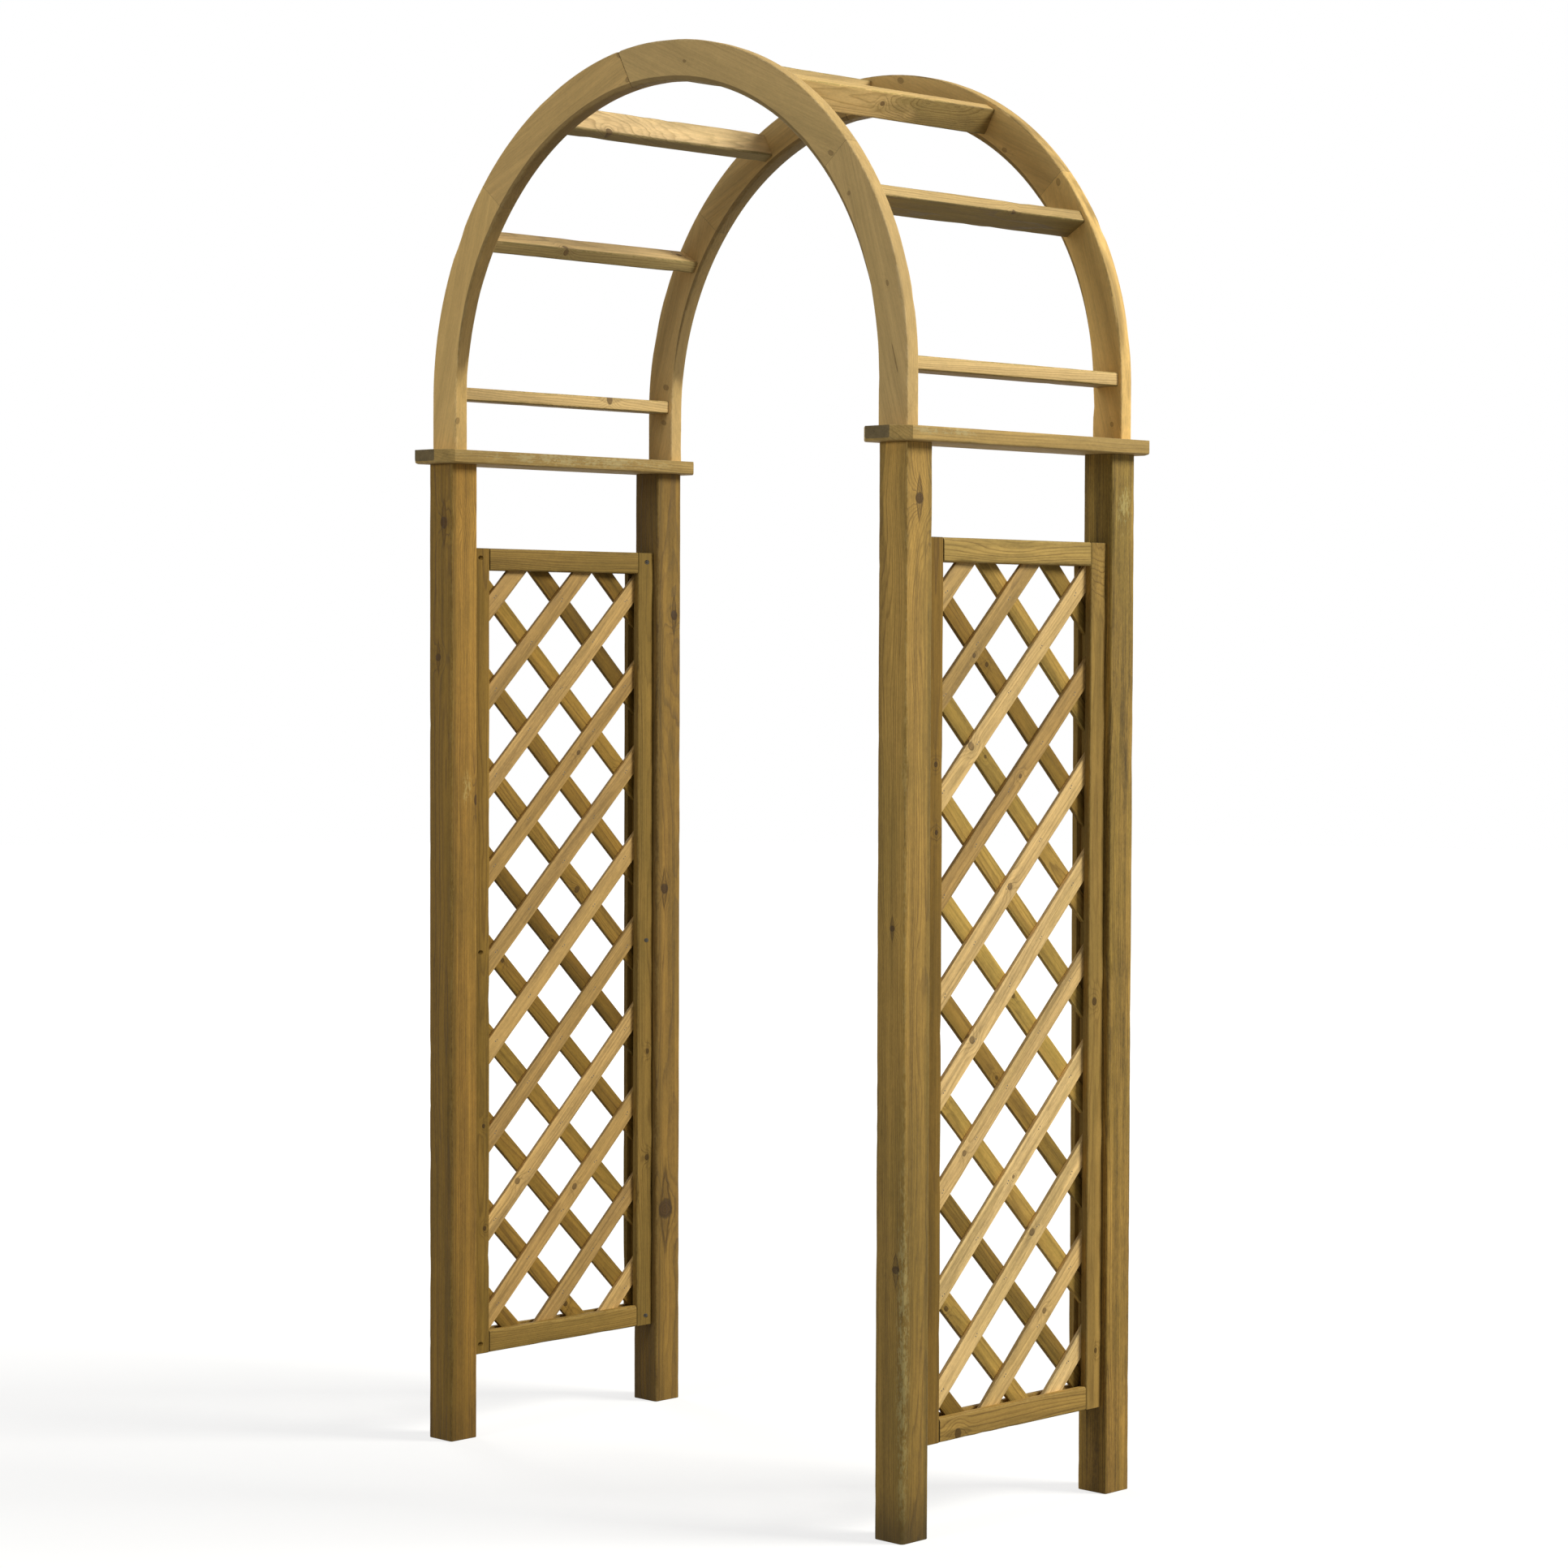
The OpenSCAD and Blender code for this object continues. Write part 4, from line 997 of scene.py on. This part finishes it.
def addLath(layer, x, z0, rise, seed, rand, tint, pale):
    s0, s1 = lathReach(z0, rise, 0.0)
    length = s1 - s0
    worn = wornArrises(seed, length, laths["edge"], laths["waver"], laths["dents"])
    along, across = Vector((0, 1, rise)).normalized(), Vector((0, -rise, 1)).normalized()
    count = max(3, round(length / laths["step"]))
    rings = []
    for i in range(count + 1):
        share = i / count
        ring, arris = sectionRing(laths["width"], laths["thick"], worn(share * length), 3)
        points = []
        for a, b in ring:
            start, stop = lathReach(z0, rise, a)
            points.append(Vector((x + b, 0, z0)) + along * (start + (stop - start) * share) + across * a)
        rings.append(points)
    first = addLoft(layer, rings, arris)
    pith = (rand.uniform(-0.03, 0.03), rand.choice((-1, 1)) * rand.uniform(0.02, 0.05))
    knots = ()
    if length > laths["knotFrom"] and rand.random() < laths["knotted"]:
        knots = ((rand.uniform(s0 + 0.05, s1 - 0.05), rand.uniform(-0.010, 0.010), laths["thick"] / 2,
                  rand.uniform(0.0025, 0.006)),)
    tone = pale + laths["paleStray"] * rand.uniform(-1, 1)
    own = tuple(t * (1 + swing * tone) for t, swing in zip(tint, laths["swing"]))
    addGrain(layer, first, Vector((x, 0, z0)), along, across, xAxis, seed, pith, laths["slope"], 0.0, knots,
             (own, own))


lathHalf = (laths["each"] - 1) // 2
for lr in ("left", "right"):
    midX = standing("post_front_" + lr)[0].x
    for word, rise in (("rising", 1), ("falling", -1)):
        layer = newTimber()
        name = "laths_" + word + "_" + lr
        rand = random.Random(seedOf(name))
        for number, pale in enumerate(laths["pale"][word + "_" + lr], -lathHalf):
            addLath(layer, midX + rise * laths["thick"] / 2, lathHeight(lr, rise, number), rise,
                    seedOf(name) + 31 * number, rand, laths["tints"][word + "_" + lr], pale)
        makePiece(name + "_boards", layer, woods[word + "Wood"], [name])
print("laths made")

# armLong and armWide are shares of the head's radius, and a pocket is (radius, depth)
screws = {"sides": 24, "capGap": 0.036, "capInset": 0.018, "stileEnd": 0.020, "stileIn": 0.56,
          "sunk": 0.00035, "panelSunk": 0.006, "headFlat": 0.0005, "headEdge": 0.0002, "point": (0.006, 0.0006),
          "recess": 0.0019, "armLong": 0.48, "armWide": 0.0009 / 0.00475, "recessFloor": (0.62, 0.75),
          "head": {"cap": 0.00475, "panel": 0.00475, "lap": 0.0040},
          "shank": {"cap": 0.0025, "panel": 0.0025, "lap": 0.0020},
          "length": {"cap": 0.0696, "panel": 0.050, "lap": 0.0256},
          "pocket": {"cap": (0.0049, 0.0032), "panel": (0.0049, 0.0095), "lap": (0.0042, 0.0030)}}


def addCrossHeadScrew(bm, place, direction, headR, shankR, length, turn):
    # countersunk head with a cross recess; the point goes along direction
    axis = direction.normalized()
    side = axis.orthogonal().normalized()
    other = axis.cross(side)

    def at(r, angle, deep):
        angle += turn
        return bm.verts.new(place + (side * math.cos(angle) + other * math.sin(angle)) * r + axis * deep)

    def crossAt(reach, half, deep):
        flat = ((reach, -half), (reach, half), (half, half), (half, reach), (-half, reach), (-half, half),
                (-reach, half), (-reach, -half), (-half, -half), (-half, -reach), (half, -reach), (half, -half))
        return [at(math.hypot(x, y), math.atan2(y, x), deep) for x, y in flat]

    count, edge, flat = screws["sides"], screws["headEdge"], screws["headFlat"]
    pointLong, pointR = screws["point"]
    profile = ((headR - edge, 0.0), (headR, edge), (headR, flat), (shankR, flat + headR - shankR),
               (shankR, length - pointLong), (pointR, length))
    rows = [[at(r, math.tau * i / count, deep) for i in range(count)] for r, deep in profile]
    for upper, lower in zip(rows, rows[1:]):
        for i in range(count):
            k = (i + 1) % count
            bm.faces.new((upper[i], upper[k], lower[k], lower[i]))
    bm.faces.new(rows[-1])
    reach, half = headR * screws["armLong"], headR * screws["armWide"]
    shorter, slimmer = screws["recessFloor"]
    mouth, recessFloor = crossAt(reach, half, 0.0), crossAt(reach * shorter, half * slimmer, screws["recess"])
    for i in range(len(mouth)):
        k = (i + 1) % len(mouth)
        bm.faces.new((mouth[k], mouth[i], recessFloor[i], recessFloor[k]))
    bm.faces.new(recessFloor)
    edges = []
    for loop in (rows[0], mouth):
        for i, v in enumerate(loop):
            pair = (v, loop[(i + 1) % len(loop)])
            edges.append(bm.edges.get(pair) or bm.edges.new(pair))
    bmesh.ops.triangle_fill(bm, edges=edges, use_beauty=True)


def makeScrews(word, places):
    bm = bmesh.new()
    name, node = word + "_screw_heads", word + "_screws"
    rand = random.Random(seedOf(name))
    for place, direction in places:
        addCrossHeadScrew(bm, place, direction, screws["head"][word], screws["shank"][word],
                          screws["length"][word], rand.uniform(0, 1.5))
    bmesh.ops.recalc_face_normals(bm, faces=bm.faces)
    mesh = bpy.data.meshes.new(name)
    bm.to_mesh(mesh)
    bm.free()
    mesh.shade_smooth()
    mesh.set_sharp_from_angle(angle=math.radians(30))
    mesh.materials.append(screwSteel)
    obj = bpy.data.objects.new(name, mesh)
    bpy.context.scene.collection.objects.link(obj)
    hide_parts(node)
    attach(obj, "root")


# where the heads lie and which way the screws go; a panel's screws start from mouths in its stiles' faces
capPlaces, panelPlaces, lapPlaces = [], [], []
for fb, sy in (("front", -1), ("back", 1)):
    for lr, sx in (("left", -1), ("right", 1)):
        x, top = standing("post_" + fb + "_" + lr)[0].x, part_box("cap_" + lr)[1][2]
        y = sy * (hoop["y"] - hoop["thick"] / 2 - screws["capInset"])
        for k in (-0.5, 0.5):
            capPlaces.append((Vector((x + k * screws["capGap"], y, top - screws["sunk"])), -zAxis))
        low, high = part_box("stile_" + fb + "_" + lr)
        openHalf = min(abs(low[1]), abs(high[1]))
        into = Vector((sx, sy, 0)).normalized()
        for z in (low[2] + screws["stileEnd"], (low[2] + high[2]) / 2, high[2] - screws["stileEnd"]):
            y = sy * (openHalf + screws["stileIn"] * panels["size"])
            mouth = Vector((x - sx * panels["size"] / 2, y, z))
            panelPlaces.append((mouth + into * screws["panelSunk"], into))
for y in (-hoop["y"], hoop["y"]):
    for k in (-1, 1):
        angle = math.pi / 2 + k * lapAngle / 2
        lapPlaces.append((Vector((hoopMid * math.cos(angle), y + hoop["thick"] / 2 - screws["sunk"],
                                  hoop["arcZ"] + hoopMid * math.sin(angle))), -yAxis))
for side in ("left", "right"):
    own = [(place, into) for place, into in capPlaces if (place.x > 0) == (side == "right")]
    cutPockets("cap_" + side + "_board", own, *screws["pocket"]["cap"])
    for word in ("front", "back"):
        own = [(place - into * screws["panelSunk"], into) for place, into in panelPlaces
               if (place.x > 0) == (side == "right") and (place.y > 0) == (word == "back")]
        cutPockets("stile_" + word + "_" + side + "_timber", own, *screws["pocket"]["panel"])
        own = [(place, into) for place, into in lapPlaces if (place.y > 0) == (word == "back")]
        cutPockets(word + "_hoop_top_" + side + "_timber", own, *screws["pocket"]["lap"])
makeScrews("cap", capPlaces)
makeScrews("panel", panelPlaces)
makeScrews("lap", lapPlaces)

for node, material in (("hoop_screws", screwSteel), ("butt_dowels", woods["dowelWood"]),
                       ("rung_dowels", woods["dowelWood"])):
    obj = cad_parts[node]
    obj.data.materials.clear()
    obj.data.materials.append(material)
print("screws and dowels made")

nails = {"radius": 0.0014, "flat": 0.75, "proud": 0.00015, "gap": 0.006, "stray": 0.006, "turn": (0.4, 1.2),
         "sides": 10, "seed": 71, "half": 0.20, "low": 0.225, "high": 1.773}


def addNailHead(bm, centre):
    def disc(radius, lift):
        turns = [math.tau * i / nails["sides"] for i in range(nails["sides"])]
        return [bm.verts.new(centre + Vector((lift, radius * math.cos(t), radius * math.sin(t))))
                for t in turns]

    ring, raised = disc(nails["radius"], 0.0), disc(nails["flat"] * nails["radius"], nails["proud"])
    for i in range(nails["sides"]):
        k = (i + 1) % nails["sides"]
        bm.faces.new((ring[i], ring[k], raised[k], raised[i]))
    bm.faces.new(raised)
    bm.faces.new(list(reversed(ring)))


# two nails wherever a rising lath crosses a falling one
bm = bmesh.new()
rand = random.Random(nails["seed"])
for lr in ("left", "right"):
    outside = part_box("laths_rising_" + lr)[1][0]
    for n in range(-lathHalf, lathHalf + 1):
        for m in range(-lathHalf, lathHalf + 1):
            zr, zf = lathHeight(lr, 1, n), lathHeight(lr, -1, m)
            y, z = (zf - zr) / 2, (zf + zr) / 2
            if abs(y) > nails["half"] or not nails["low"] < z < nails["high"]:
                continue
            turn = rand.uniform(*nails["turn"])
            strays = [rand.uniform(-nails["stray"], nails["stray"]) for _ in range(2)]
            middle = Vector((outside, y + strays[0], z + strays[1]))
            apart = Vector((0, math.cos(turn), math.sin(turn))) * nails["gap"] / 2
            addNailHead(bm, middle + apart)
            addNailHead(bm, middle - apart)
mesh = bpy.data.meshes.new("lath_nails")
bm.to_mesh(mesh)
bm.free()
mesh.materials.append(nailSteel)
obj = bpy.data.objects.new("lath_nails", mesh)
bpy.context.scene.collection.objects.link(obj)
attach(obj, "root")
print("nails made")
